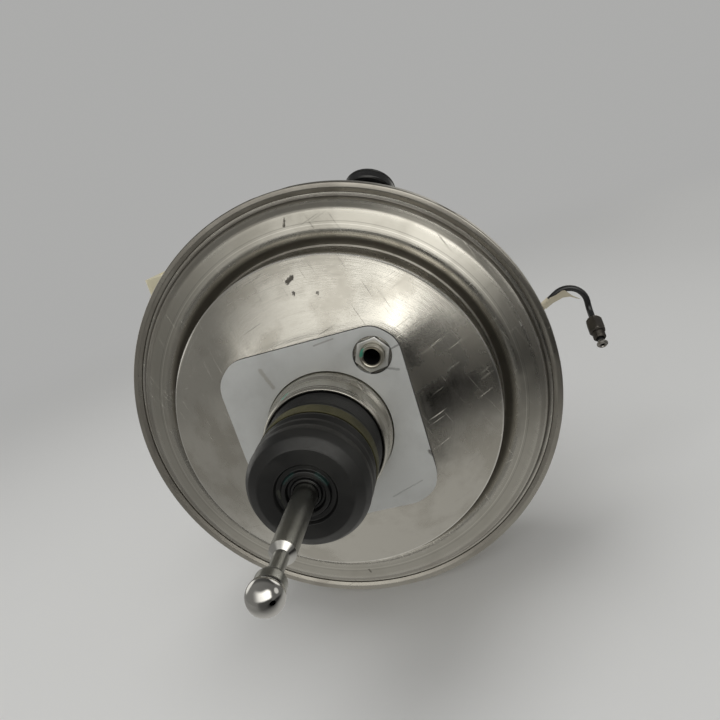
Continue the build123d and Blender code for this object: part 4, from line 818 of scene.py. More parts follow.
def arc(
    radius: float, start: float, end: float, steps: int, centre: Point = (0.0, 0.0)
) -> list[Point]:
    """Points of an arc between two angles, both ends included."""
    angles = [start + (end - start) * i / steps for i in range(steps + 1)]
    return [(centre[0] + radius * math.cos(a), centre[1] + radius * math.sin(a)) for a in angles]


def circle(
    radius: float, count: int, centre: Point = (0.0, 0.0), start: float = 0.0
) -> list[Point]:
    """Points of a circle, or of a polygon when count is small."""
    return arc(radius, start, start + 2 * math.pi, count, centre)[:-1]


def hexagon(half: float) -> Shape:
    """Shaping rule that cuts a turned blank to six flats, half an across-flats size out."""

    def cut(radius: float, along: float, angle: float) -> Point:
        """Keep a point inside the flats."""
        flat = half / math.cos((angle + math.pi / 6) % (math.pi / 3) - math.pi / 6)
        return min(radius, flat), along

    return cut


def back_plane(a: float, b: float, height: float) -> Vector:
    """Outline across the booster's axis: a is X, b is Z and height runs forward."""
    return Vector((a, height, b))


def level_plane(a: float, b: float, height: float) -> Vector:
    """Outline on a level plane: a is X, b is Y and height is Z."""
    return Vector((a, b, height))


def side_plane(a: float, b: float, height: float) -> Vector:
    """Outline seen from the side: a is Y, b is Z and height runs along X."""
    return Vector((height, a, b))


@dataclass
class Assembly:
    """Makes the pieces of one sub-assembly and hangs each on its body.

    Attributes:
        painter: Gives the materials.
        made: Finished objects by name.
    """

    painter: Painter
    made: dict[str, bpy.types.Object] = field(default_factory=dict)

    def hang(
        self, piece: Piece, slot: str, body: str, node: str, smooth: float = 38.0
    ) -> bpy.types.Object:
        """Finish a piece that stands for a CAD node and moves with a body."""
        obj = piece.finish(self.painter, slot, smooth)
        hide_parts(node)
        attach(obj, body)
        self.made[obj.name] = obj
        return obj

    def soften(self, node: str, slot: str, body: str, width: float) -> None:
        """Stand a copy of a solid in its place, with its sharp edges broken."""
        piece = Piece(node + "_eased", slot)
        mesh = piece.mesh
        mesh.from_mesh(frame["nodes"][node].data)
        bmesh.ops.scale(mesh, vec=(1 / MM, 1 / MM, 1 / MM), verts=mesh.verts)
        bmesh.ops.remove_doubles(mesh, verts=mesh.verts, dist=0.002)
        limit = math.radians(1.0)
        bmesh.ops.dissolve_limit(mesh, angle_limit=limit, verts=mesh.verts, edges=mesh.edges)
        self.hang(piece.bevel(width, 40), slot, body, node, smooth=32)

    def build(self) -> None:
        """Make every piece."""
        raise NotImplementedError


# ================================================================ booster casing
def stud_gap(at: Vector) -> float:
    """Distance of a point from the nearer stud's axis."""
    return min(math.hypot(at.x - x, at.z - z) for x, z in STUDS)


@dataclass
class Casing(Assembly):
    """Rear shell, front shell, gasket, neck and tie rods.

    Attributes:
        steps: Segments round the two shells.
        sheet: Thickness of the rear shell.
        lances: Number of lances in the crimped skirt.
        lance_y: Middle of the lances along the axis.
    """

    steps: int = 256
    sheet: float = 2.0
    lances: int = 8
    lance_y: float = 55.3

    def pad_radius(self, angle: float) -> float:
        """Radius of the pad's rounded square at an angle."""
        b, a = sorted((abs(math.cos(angle)), abs(math.sin(angle))))
        inner = PAD_HALF - PAD_CORNER
        if PAD_HALF * b / a <= inner:
            return PAD_HALF / a
        along = (a + b) * inner
        rest = along * along - (2 * inner * inner - PAD_CORNER * PAD_CORNER)
        return along + math.sqrt(max(rest, 0.0))

    def square_off(self, radius: float, along: float, angle: float) -> Point:
        """Give the turned dish its square pad, and leave the neck and the rim round."""
        on_dish = PAD_Y - 0.3 <= along <= EDGE_Y + 4.0 and FLAT_R + 0.5 < radius < EDGE_R - 0.7
        if not on_dish:
            return radius, along
        pad = self.pad_radius(angle)
        share = (radius - PAD_HALF) / (EDGE_R - PAD_HALF)
        if share > 0:
            return pad + (EDGE_R - pad) * share, along
        return FLAT_R + (pad - FLAT_R) * (radius - FLAT_R) / (PAD_HALF - FLAT_R), along

    def shell_profile(self) -> list[Point]:
        """Section of the rear shell: outside from neck to flange, then back inside."""
        out = rounded(
            [
                (34.0, 4.9), (34.0, -19.8), (33.6, -20.9, 0.5), (34.2, -22.0, 0.6),
                (35.0, -22.0, 0.4), (36.0, -20.4, 1.0), (36.0, -19.4, 0.3), (35.4, -19.0, 0.2),
                (35.4, -18.4, 0.2), (36.0, -17.4, 0.8), (36.0, -7.5, 1.2), (37.7, -5.2, 1.2),
                (37.7, PAD_Y - 0.6, 0.6), (FLAT_R, PAD_Y, 1.0), (FLAT_R + 0.8, PAD_Y),
            ],
            segments=4,
        )
        rings = [FLAT_R + 2.0 + 1.1 * i for i in range(14)]
        out += [(ring, PAD_Y) for ring in rings]
        close = (0.0, 0.02, 0.05, 0.09, 0.14)
        for share in (*close, 0.2, 0.3, 0.4, 0.5, 0.6, 0.7, 0.8, 0.88, 0.94, 0.975):
            ease = share * (0.80 + 0.20 * share)
            settle = 0.55 * math.exp(-((share / 0.05) ** 2))
            radius = PAD_HALF + (EDGE_R - PAD_HALF) * share
            out.append((radius, PAD_Y + (EDGE_Y - PAD_Y) * ease + settle))
        out += rounded(
            [
                (EDGE_R - 0.6, EDGE_Y - 0.3), (EDGE_R, EDGE_Y + 0.2, 0.5),
                (EDGE_R + 0.3, EDGE_Y + 2.4, 1.0), (104.3, 44.0, 0.6), (105.6, 44.8, 0.6),
                (111.2, 38.6, 9.0), (115.6, 37.3, 6.0), (127.8, 41.6, 7.0), (132.6, 45.6, 3.0),
                (DRUM_R, FLANGE_Y, 1.0), (FLANGE_R, FLANGE_Y),
            ],
            segments=9,
        )
        inside = PAD_Y + self.sheet
        out += [
            (FLANGE_R, FLANGE_Y + self.sheet), (133.0, FLANGE_Y + self.sheet), (131.6, 47.4),
            (127.0, 43.6), (116.0, 39.3), (112.4, 40.4), (107.0, 46.6), (103.0, 46.0),
            (101.8, 25.4), (101.4, 24.6), (PAD_HALF - 1.0, inside),
            *[(ring, inside) for ring in reversed(rings)],
            (34.0, inside),
        ]
        return out

    def lance(self, radius: float, along: float, angle: float) -> Point:
        """Push the turned skirt in at the lances."""
        pitch = 2 * math.pi / self.lances
        off = abs((angle + pitch / 2) % pitch - pitch / 2) / math.radians(3.6)
        if off >= 1.0 or radius < FLANGE_R + 0.1 or not 49.5 < along < 61.5:
            return radius, along
        ends = min(1.0, 2.4 - abs(along - self.lance_y) / 2.5)
        return radius - 1.6 * (1.0 - off**4) * ends, along

    def skirt_profile(self) -> list[Point]:
        """Section of the front shell."""
        outer = rounded(
            [
                (136.5, 50.3), (136.8, 49.7, 0.5), (139.2, 48.5, 1.6), (SKIRT_R, 48.8, 2.3),
                *((SKIRT_R, y) for y in (51.2, 53.2, self.lance_y, 57.4, 59.2)),
                (SKIRT_R, 61.0, 2.0), (DRUM_R, 61.8, 2.0), (DRUM_R, DRUM_Y, 24.0),
                (82.0, DRUM_Y, 7.0), (70.0, HUB_Y, 7.0), (24.0, HUB_Y, 2.4), (24.0, 121.0),
            ],
            segments=9,
        )
        inner = [
            (25.8, 121.0), (25.8, 127.6), (69.2, 128.2), (81.0, 116.2), (108.0, 116.2),
            (120.0, 113.0), (129.0, 105.0), (132.2, 94.0), (132.2, 64.0), (133.2, 60.2),
            (139.6, 59.6), (140.8, 56.5), (140.8, 53.0), (140.0, 50.4),
        ]
        return outer + inner

    def gasket(self) -> Piece:
        """Foam pad with soft, slightly uneven edges and a dark rim line."""
        piece = Piece("gasket", "gasket_foam")
        h = PAD_HALF - 2.0
        start = (h - 0.8, -1.1)
        loop = [start, (h, h, 19.0), (-h, h + 2.2, 20.0), (-h - 0.6, -h, 22.0)]
        loop += [(h - 1.6, -h - 2.2, 20.0), start]
        outline = []
        for a, b in rounded(loop, 0.12)[:-1]:
            wave = 0.35 * math.sin(0.31 * a + 1.3) * math.sin(0.27 * b) - 0.35
            length = math.hypot(a, b)
            outline.append((a * (1 + wave / length), b * (1 + wave / length)))
        nicked = [(a - 1.2 if a > h - 3.5 and -33 < b < -25 else a, b) for a, b in outline]
        holes = [circle(38.4, 96)] + [circle(GASKET_HOLE, 48, stud) for stud in STUDS]
        piece.prism(nicked, back_plane, 0.05, PAD_Y, holes).bevel(0.5, 50)
        edge = piece.use("gasket_edge")
        for face in piece.mesh.faces:
            middle = face.calc_center_median()
            if abs(face.normal.y) < 0.3 and middle.xz.length > 45 and middle.y > 1.2:
                face.material_index = edge
        return piece

    def tie_rods(self) -> Piece:
        """Tapped sleeves, rods, collars and studs."""
        piece = Piece("tie_rods_turned", "tie_rod_steel")
        bore: list[Point] = []
        for turn in range(16):
            bore += [(4.75, 15.6 - 1.25 * turn), (5.15, 14.98 - 1.25 * turn)]
        profile = [
            (0.0, 16.0), (4.75, 16.0), *bore, (5.3, -3.6), (5.9, -4.0, 0.2), (6.7, -4.0, 0.4),
            (SLEEVE_R, -3.4, 0.4), (SLEEVE_R, 5.0), (9.75, 5.0, 0.3), (9.75, 9.0, 0.5),
            (6.0, 9.0, 0.8), (6.0, 124.2, 0.8), (9.4, 124.2, 0.4), (9.4, 128.2), (4.9, 128.2),
            (4.9, 157.2, 0.3), (4.1, 158.0), (0.0, 158.0),
        ]
        for x, z in STUDS:
            piece.lathe(profile, Frame3.forward(x, z), 48, closed=False)
        # painted shade in the tapped bores
        piece.shade_bore(lambda at: -3.4 < at.y < 16.5 and stud_gap(at) < 5.25)
        return piece

    def hexes(self) -> Piece:
        """Thin hexes round the sleeves."""
        piece = Piece("sleeve_hexes", "sleeve_nut_steel")
        for stud in STUDS:
            outline = circle(9.5 / math.cos(math.pi / 6), 6, stud, 0.12)
            piece.prism(outline, back_plane, 0.4, 3.0, [circle(7.25, 40, stud)])
        return piece.bevel(0.35, 40)

    def build(self) -> None:
        """Make the casing's pieces."""
        shell = Piece("rear_shell_spun", "rear_shell_metal")
        faces = shell.lathe(self.shell_profile(), steps=self.steps, shape=self.square_off)
        # the sleeves pass through the pad
        middles = [(face, face.calc_center_median()) for face in faces]
        opened = [face for face, at in middles if stud_gap(at) < SLEEVE_ROOM and at.y < 9.0]
        bmesh.ops.delete(shell.mesh, geom=opened, context="FACES")
        self.hang(shell, "rear_shell_metal", "casing", "rear_shell", smooth=50)
        skirt = Piece("front_shell_drawn", "front_shell_metal")
        skirt.lathe(self.skirt_profile(), steps=self.steps, shape=self.lance)
        boss = Frame3(CHECK_SEAT, CHECK_SIDE, CHECK_AXIS)
        collar = [(10.5, -6.0), (10.5, 1.0, 0.3), (16.4, 1.0, 1.0), (19.5, -4.5), (14.0, -5.0)]
        skirt.lathe(collar, boss, 64)
        self.hang(skirt, "front_shell_metal", "casing", "front_shell", smooth=50)
        self.hang(self.gasket(), "gasket_foam", "casing", "mount_gasket", smooth=45)
        self.hang(self.tie_rods(), "tie_rod_steel", "casing", "tie_rods", smooth=45)
        self.hang(self.hexes(), "sleeve_nut_steel", "casing", "sleeve_nuts")


# ================================================================ boot and push rod
@dataclass
class PedalEnd(Assembly):
    """Dust boot with its band, and the push rod."""

    def boot(self) -> Piece:
        """Ribbed root, stepped drum and ringed face."""
        piece = Piece("boot_moulded", "boot_rubber")
        outside: list[Sequence[float]] = [(30.0, -10.0), (33.2, -10.0), (33.2, -22.6, 0.6)]
        for rib in range(6):
            y = -24.2 - 2.3 * rib
            outside += [(32.1, y, 0.4), (33.25, y - 1.1, 0.55)]
        outside += [
            (32.6, -38.6, 0.4), (31.2, -39.0, 0.3), (31.2, -48.6, 0.3), (32.2, -49.6, 0.6),
            (32.6, -52.0, 0.9), (31.2, -55.6, 0.8), (31.3, -57.3, 0.6), (32.7, -58.6, 0.8),
            (32.6, -61.0, 0.6), (31.7, -63.6, 0.7), (31.8, -65.2, 0.5), (32.4, -66.4, 0.7),
            (32.4, -70.8, 2.0), (29.8, -75.4, 3.0), (25.2, -78.6, 0.6), (24.4, -79.0, 0.2),
            (16.4, -79.0, 0.6), (15.3, -76.8, 0.6), (13.0, -76.6, 0.5), (12.3, -78.5, 0.5),
            (10.4, -78.6, 0.5), (9.6, -76.0, 0.5), (8.3, -75.9, 0.4), (7.7, -77.7, 0.5),
            (6.5, -77.8, 0.3), (6.5, -73.0),
        ]
        inside: list[Sequence[float]] = [
            (23.0, -74.4), (29.8, -70.4), (29.4, -62.0), (28.8, -57.0), (29.4, -50.0),
            (28.9, -45.0), (28.9, -36.0), (30.0, -28.0),
        ]
        piece.lathe(rounded(outside, 0.3) + rounded(inside), steps=144)
        return piece

    def band(self) -> Piece:
        """Olive band with fine turned lines."""
        piece = Piece("boot_band_ribbed", "band_olive")
        profile: list[Point] = [(31.3, -39.2), (32.5, -39.2)]
        for line in range(6):
            y = -39.6 - 1.6 * line
            profile += [(32.85, y), (32.85, y - 0.9), (32.45, y - 1.1), (32.45, y - 1.35)]
        profile += [(32.5, -48.4), (31.3, -48.4)]
        piece.lathe(profile, steps=144)
        return piece

    def rod(self) -> Piece:
        """Push rod with a bright chamfer and ball."""
        piece = Piece("push_rod_turned", "input_rod_steel")
        head, waist, shank = 6.93, 3.55, 6.2
        centre = (0.0, BALL_Y)
        # the ball's tip, then its belly up to the head's flat
        meet = math.acos(head / BALL_R)
        tip = arc(BALL_R, -math.pi / 2, -meet, 14, centre)
        belly = arc(BALL_R, -meet, meet, 8, centre)
        for part in ([(0.0, BALL_Y - BALL_R), *tip[1:]], [tip[-1], *belly]):
            piece.lathe(part, None, 72, closed=False, finish="rod_bright")
        neck = [
            belly[-1], (head, -156.4), (head, -151.6, 0.5), (5.9, -149.4, 0.9),
            (waist, -147.2, 1.2), (waist, -133.2, 1.2),
        ]
        piece.lathe(neck, None, 72, closed=False)
        chamfer = [(waist, -133.2), (shank, -130.6), (shank, -130.0)]
        piece.lathe(chamfer, None, 72, closed=False, finish="rod_bright")
        rest = [
            (shank, -130.0), (shank, -29.0), (8.0, -29.0, 0.2), (8.0, -27.0, 0.2), (shank, -27.0),
            (shank, -23.0, 0.4), (5.0, -20.0, 0.4), (5.0, 14.0, 0.4), (3.4, 16.5, 0.4),
            (3.4, 20.7),
        ]
        piece.lathe(rest, None, 72, closed=False)
        ball = arc(SOCKET_R, -0.9, math.pi / 2, 12, (0.0, SOCKET_Y))[:-1]
        piece.lathe([(3.4, 20.7), *ball, (0.0, SOCKET_Y + SOCKET_R)], None, 48, closed=False)
        return piece

    def build(self) -> None:
        """Make the pedal end's pieces."""
        boot = self.hang(self.boot(), "boot_rubber", "casing", "dust_boot", smooth=50)
        band = self.hang(self.band(), "band_olive", "casing", "boot_band", smooth=30)
        for obj in (boot, band):
            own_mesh(obj)
        self.hang(self.rod(), "input_rod_steel", "input_rod", "input_rod", smooth=40)


# ================================================================ hydraulics
@dataclass
class Hydraulics(Assembly):
    """Fluid tank with its cap, cast master cylinder and its fixings.

    Attributes:
        left: Left side of the tank, and so on round it.
        right: Its right side.
        rear: Its rear side.
        front: Its front side.
        corner: Radius of its upright corners.
        well: Half width of the deep part.
        filler: Place of the filler neck, as (x, y).
        lug: Place of the ears' pin, as (y, z).
        feeds: Places of the nipples along the cylinder.
    """

    left: float = -149.0
    right: float = 44.0
    rear: float = 148.0
    front: float = 262.0
    corner: float = 8.0
    well: float = 38.0
    filler: Point = (-48.0, 208.0)
    lug: Point = (208.0, 34.0)
    feeds: tuple[float, ...] = (172.0, 244.0)

    def layer(
        self,
        piece: Piece,
        sides: tuple[float, float, float, float],
        corner: float,
        heights: Point,
        edge: float = 0.0,
        segments: int = 2,
        holes: Sequence[Sequence[Point]] = (),
    ) -> None:
        """Add one rounded oblong layer of the tank.

        Args:
            piece: The tank.
            sides: Left, right, rear and front.
            corner: Radius of the upright corners.
            heights: Bottom and top.
            edge: Width of the edges' rounding, or 0 for sharp ones.
            segments: Steps of the rounding.
            holes: Closed outlines of holes.
        """
        left, right, rear, front = sides
        start = ((left + right) / 2, rear)
        corners = ((right, rear), (right, front), (left, front), (left, rear))
        loop = [start, *((x, y, corner) for x, y in corners), start]
        layer = Piece("layer", "tank_plastic")
        layer.prism(rounded(loop, 0.2)[:-1], level_plane, *heights, holes)
        if edge:
            layer.bevel(edge, 50, segments)
        piece.take(layer)

    def tank(self) -> Piece:
        """Two-part tank: wing with a welded seam, well, filler neck, nipples and ribs."""
        piece = Piece("fluid_tank", "tank_plastic")
        mouth = [circle(15.8, 48, self.filler)]
        # lower half, upper half, then the two lips of the weld
        halves = (
            (1.8, (74.0, 93.0), 3.0, ()), (1.8, (92.0, 108.6), 4.0, mouth),
            (0.0, (90.6, 92.4), 0.5, ()), (0.3, (93.0, 94.8), 0.5, ()),
        )
        for inset, heights, edge, holes in halves:
            sides = (self.left + inset, self.right - inset, self.rear + inset, self.front - inset)
            self.layer(piece, sides, self.corner - inset * 0.5, heights, edge, 4, holes)
        deep = (-self.well, self.well, 156.0, self.front - 0.6)
        self.layer(piece, deep, 7.0, (47.0, 78.0), 2.5, 3)
        for x in (-136.0, -118.0, -100.0, -82.0):
            self.layer(piece, (x - 1.0, x + 1.0, 162.0, 250.0), 0.9, (108.0, 109.5), 0.5)
        self.layer(piece, (-14.0, 34.0, 164.0, 246.0), 6.0, (108.0, 109.4), 0.6)
        for x in (-120.0, -95.0, -70.0):
            self.layer(piece, (x - 1.1, x + 1.1, 160.0, 252.0), 1.0, (71.2, 76.0))
        neck = Frame3.upright(*self.filler)
        spout = [
            (15.8, 106.0), (15.8, 122.4, 0.3), (16.4, 123.0, 0.3), (17.0, 122.6),
            (17.0, 118.6, 0.3), (18.0, 117.8, 0.3), (18.0, 116.8, 0.3), (17.0, 115.8, 0.3),
            (17.0, 112.4, 0.3), (18.0, 111.6, 0.3), (18.0, 110.4), (19.4, 108.7, 0.8),
            (20.5, 108.0), (18.0, 106.0),
        ]
        piece.lathe(spout, neck, 72)
        fluid = [(0.0, 96.2), (15.9, 96.2), (15.9, 95.8), (0.0, 95.8)]
        piece.lathe(fluid, neck, 48, closed=False, finish="fluid_amber")
        nipple = [
            (4.5, 48.0), (4.5, 20.4), (5.2, 20.0, 0.3), (6.6, 20.4, 0.3), (7.0, 21.6, 0.3),
            (7.0, 40.0), (7.0, 44.0), (9.6, 47.6, 1.2), (9.6, 48.4),
        ]
        for feed in self.feeds:
            piece.lathe(nipple, Frame3.upright(0.0, feed), 48)
        y, z = self.lug
        turn = arc(5.5, math.pi * 13 / 12, math.pi * 23 / 12, 10, self.lug)
        ear = [(y - 5.4, z + 14.0), (y - 5.4, z), *turn, (y + 5.4, z), (y + 5.4, z + 14.0)]
        for middle in (-6.9, 6.9):
            lug = Piece("lug", "tank_plastic")
            lug.prism(ear, side_plane, middle - 1.5, middle + 1.5, [circle(LUG_HOLE, 24, self.lug)])
            piece.take(lug.bevel(0.4, 50))
        return piece

    def cap(self) -> Piece:
        """Screw cap with a fluted grip and a dished top."""
        piece = Piece("fluted_cap", "cap_plastic")

        def flute(radius: float, along: float, angle: float) -> Point:
            """Press the grip's flutes in."""
            if radius < 20.0 or along > 131.2:
                return radius, along
            return radius - 1.5 * max(0.0, math.cos(12 * angle)) ** 3, along

        profile = [
            (0.0, 130.4), (18.9, 130.4), (18.9, 112.6), (21.2, 112.5, 0.4), (22.5, 113.6, 0.8),
            (22.5, 118.0), (22.5, 124.0), (22.5, 130.9, 0.6), (21.6, 133.0, 1.4),
            (17.2, 133.0, 0.6), (16.4, 131.9, 0.6), (6.0, 131.6, 0.4), (5.0, 132.4, 0.4),
            (0.0, 132.5),
        ]
        piece.lathe(profile, Frame3.upright(*self.filler), 144, closed=False, shape=flute)
        return piece

    def nuts(self) -> Piece:
        """Flanged nuts on the studs."""
        piece = Piece("flange_nuts", "nut_steel")

        def six(radius: float, along: float, angle: float) -> Point:
            """Cut flats above the flange."""
            return hexagon(8.0)(radius, along, angle) if along > 143.6 else (radius, along)

        blank = [
            (5.0, 142.0), (9.4, 142.0, 0.3), (9.4, 143.2, 0.4), (8.9, 143.7), (9.2, 144.2),
            (9.2, 146.0), (9.2, 148.4), (7.6, 150.0, 0.3), (5.6, 150.0, 0.3), (5.0, 149.4),
        ]
        for x, z in STUDS:
            piece.lathe(blank, Frame3.forward(x, z), 96, shape=six)
        return piece

    def build(self) -> None:
        """Make the hydraulic pieces."""
        self.hang(self.tank(), "tank_plastic", "casing", "reservoir", smooth=40)
        self.hang(self.cap(), "cap_plastic", "cap", "reservoir_cap", smooth=35)
        self.hang(self.nuts(), "nut_steel", "casing", "mc_nuts", smooth=30)
        for node, slot, width in (
            ("master_cylinder", "cast_aluminium", 0.9), ("mc_pipe_nut", "tube_nut_steel", 0.4),
            ("level_switch", "switch_plastic", 0.4), ("reservoir_grommets", "seal_rubber", 0.35),
        ):
            self.soften(node, slot, "casing", width)


# ================================================================ check valve
@dataclass
class CheckValve(Assembly):
    """Glossy housing on the front shell's shoulder, its cover and its hose barb."""

    def build(self) -> None:
        """Make the check valve's pieces."""
        stand = Frame3(CHECK_SEAT, CHECK_SIDE, CHECK_AXIS)
        body = Piece("check_housing", "check_plastic")
        housing = [
            (4.0, -14.0), (5.5, -14.0, 0.3), (6.5, -12.0, 0.6), (6.5, 4.4, 0.4), (8.5, 4.4, 0.3),
            (10.5, 6.0, 0.5), (16.8, 6.0, 0.4), (17.8, 7.0, 0.4), (17.8, 11.6, 0.3), (17.4, 12.0),
            (9.0, 12.0), (9.0, 7.8), (4.0, 7.8),
        ]
        body.lathe(housing, stand, 96)
        middle = CHECK_SEAT + CHECK_AXIS * 10.3
        barb = [
            (3.4, 18.2), (5.2, 18.2, 0.5), (5.2, 35.0, 0.3), (6.0, 35.2, 0.2), (5.3, 39.2, 0.4),
            (4.8, 40.0, 0.3), (3.4, 40.0),
        ]
        body.lathe(barb, Frame3(middle, CHECK_AXIS, BARB_DIR), 48)
        root = Frame3(middle - CHECK_AXIS * 2.2, CHECK_AXIS, BARB_DIR)
        body.lathe([(2.0, 11.0), (4.6, 11.0), (4.6, 18.6), (2.0, 18.6)], root, 32)
        self.hang(body, "check_plastic", "check_valve", "check_valve_body", smooth=45)
        cover = Piece("check_cap", "check_plastic")
        lid = [
            (0.0, 12.0), (17.0, 12.0), (17.8, 12.6, 0.4), (17.8, 13.6, 0.9), (16.4, 15.0, 0.8),
            (13.8, 15.0, 0.5), (13.0, 14.1, 0.5), (6.0, 14.1, 0.4), (5.2, 14.7, 0.4), (0.0, 14.8),
        ]
        cover.lathe(lid, stand, 96)
        self.hang(cover, "check_plastic", "check_valve", "check_valve_cover", smooth=45)


# ================================================================ outlet pipe
@dataclass
class OutletPipe(Assembly):
    """Coated pipe that dips, arches over and ends in a leaning leg, with its nut and tape.

    Attributes:
        nut_back: Back of the tube nut, from the knee along the end leg.
        hex_len: Length of its hex.
        nut_front: Front of its thread.
    """

    nut_back: float = 10.7
    hex_len: float = 14.0
    nut_front: float = 31.2

    def leg(self) -> Frame3:
        """Axis of the end leg, from its knee."""
        return Frame3(KNEE, Vector((1, 0, 0)), LEG_DIR)

    def path(self) -> list[Vector]:
        """Centre line from the port to the flare."""
        route = [
            (Vector((19.0, OUTLET_Y, OUTLET_Z)), 0.0), (Vector((96.0, OUTLET_Y, OUTLET_Z)), 14.0),
            (DIP, 14.0), (ARCH, 15.3), (KNEE, 10.0), (KNEE + LEG_DIR * (LEG_LEN - 3.0), 0.0),
        ]
        points = [route[0][0]]
        for (before, _), (here, bend), (after, _) in zip(route, route[1:], route[2:]):
            back, ahead = (before - here).normalized(), (after - here).normalized()
            half = back.angle(ahead) / 2
            middle = here + (back + ahead).normalized() * (bend / math.sin(half))
            reach = bend / math.tan(half)
            first, last = here + back * reach, here + ahead * reach
            turn = (first - middle).rotation_difference(last - middle)
            for i in range(13):
                part = turn.copy()
                part.identity()
                points.append(middle + part.slerp(turn, i / 12) @ (first - middle))
        points.append(route[-1][0])
        return points

    def flare(self, piece: Piece) -> None:
        """Double flare with painted shade in its bore, on the end of the leg."""
        profile = [
            (0.0, 34.2), (1.6, 34.2), (1.6, 37.0), (2.3, 38.0, 0.2), (3.2, 38.0, 0.3),
            (4.4, 36.8, 0.5), (4.4, 35.8, 0.5), (2.7, 34.4, 0.5), (2.55, 33.4), (0.0, 33.4),
        ]
        piece.lathe(profile, self.leg(), 40, closed=False, finish="bare_flare")

        def in_bore(at: Vector) -> bool:
            """Whether a point is inside the flare's bore."""
            along = (at - KNEE).dot(LEG_DIR)
            return 34.0 < along < 37.6 and (at - KNEE - LEG_DIR * along).length < 1.75

        # painted shade in the flare's bore
        piece.shade_bore(in_bore)

    def nut(self) -> Piece:
        """Tube nut: barrel-ended hex, neck and thread."""
        piece = Piece("tube_nut_hex", "tube_nut_steel")
        back, front = self.nut_back, self.nut_front
        start = back + self.hex_len
        thread: list[Point] = []
        for turn in range(5):
            thread += [(4.55, start + 1.0 + 0.95 * turn), (5.0, start + 1.45 + 0.95 * turn)]
        stem = [
            (PIPE_FIT, start - 0.5), (4.5, start - 0.5), (4.5, start + 0.6, 0.2), *thread,
            (4.0, front, 0.3), (3.4, front, 0.2), (2.9, front - 2.2), (PIPE_FIT, front - 2.2),
        ]
        piece.lathe(stem, self.leg(), 40)
        blank = [
            (PIPE_FIT, back + 1.5), (3.6, back, 0.3), (5.0, back, 0.5), (6.2, back + 1.6, 0.6),
            (6.9, back + 3.0), (6.9, back + 5.0), (6.9, back + 9.0), (6.9, start - 2.4),
            (6.2, start - 0.9, 0.5), (5.2, start, 0.4), (PIPE_FIT, start),
        ]
        piece.lathe(blank, self.leg(), 96, shape=hexagon(6.0))
        return piece

    def tape(self) -> Piece:
        """Paper tape wound on the rising run, with a torn end in front of the arch."""
        piece = Piece("paper_tape", "tape_cream")
        stand = Frame3(DIP, Vector((0, 1, 0)), (ARCH - DIP).normalized())

        def crumple(radius: float, along: float, angle: float) -> Point:
            """Uneven winding."""
            lift = 0.14 * math.sin(3 * angle + along * 0.6) + 0.06 * math.sin(7 * angle - along)
            sway = 0.5 * math.sin(2 * angle + 0.6)
            return (radius + lift if radius > 2.7 else radius), along + sway

        rings = [(2.92, 21.5 + 1.3 * i) for i in range(10)]
        piece.lathe([(PIPE_FIT, 21.5), *rings, (PIPE_FIT, 33.2)], stand, 48, shape=crumple)
        flap = [
            (149.9, -12.7), (156.9, -6.8), (162.0, -6.0), (167.4, -3.8), (169.7, -4.1),
            (174.0, -9.7), (180.1, -14.7), (178.1, -13.9), (172.4, -10.4), (166.9, -9.6),
            (158.2, -11.8), (151.7, -14.9),
        ]
        piece.prism(flap, back_plane, OUTLET_Y - 3.25, OUTLET_Y - 2.85)
        return piece

    def build(self) -> None:
        """Make the pipe's pieces."""
        pipe = Piece("outlet_pipe_bent", "pipe_coating")
        pipe.tube(self.path(), PIPE_R, 28)
        self.flare(pipe)
        port = Frame3(Vector((0, OUTLET_Y, OUTLET_Z)), Vector((0, 0, 1)), Vector((1, 0, 0)))
        seat = [(1.6, 15.2), (3.2, 15.2), (4.4, 16.4), (4.4, 17.4), (PIPE_R, 19.2), (1.6, 19.2)]
        pipe.lathe(seat, port, 32, finish="bare_flare")
        self.hang(pipe, "pipe_coating", "casing", "brake_pipe", smooth=45)
        self.hang(self.nut(), "tube_nut_steel", "tube_nut", "tube_nut", smooth=25)
        self.hang(self.tape(), "tape_cream", "casing", "pipe_tape", smooth=60)


# ================================================================ scene
@dataclass(frozen=True)
class Patch:
    """Soft patch of light or shade on the gloss dome.

    Attributes:
        way: Direction of its middle, or its place on the floor in metres.
        reach: Its half width, in degrees, or in metres on the floor.
        level: Brightness that it adds.
    """

    way: Triple
    reach: float
    level: float


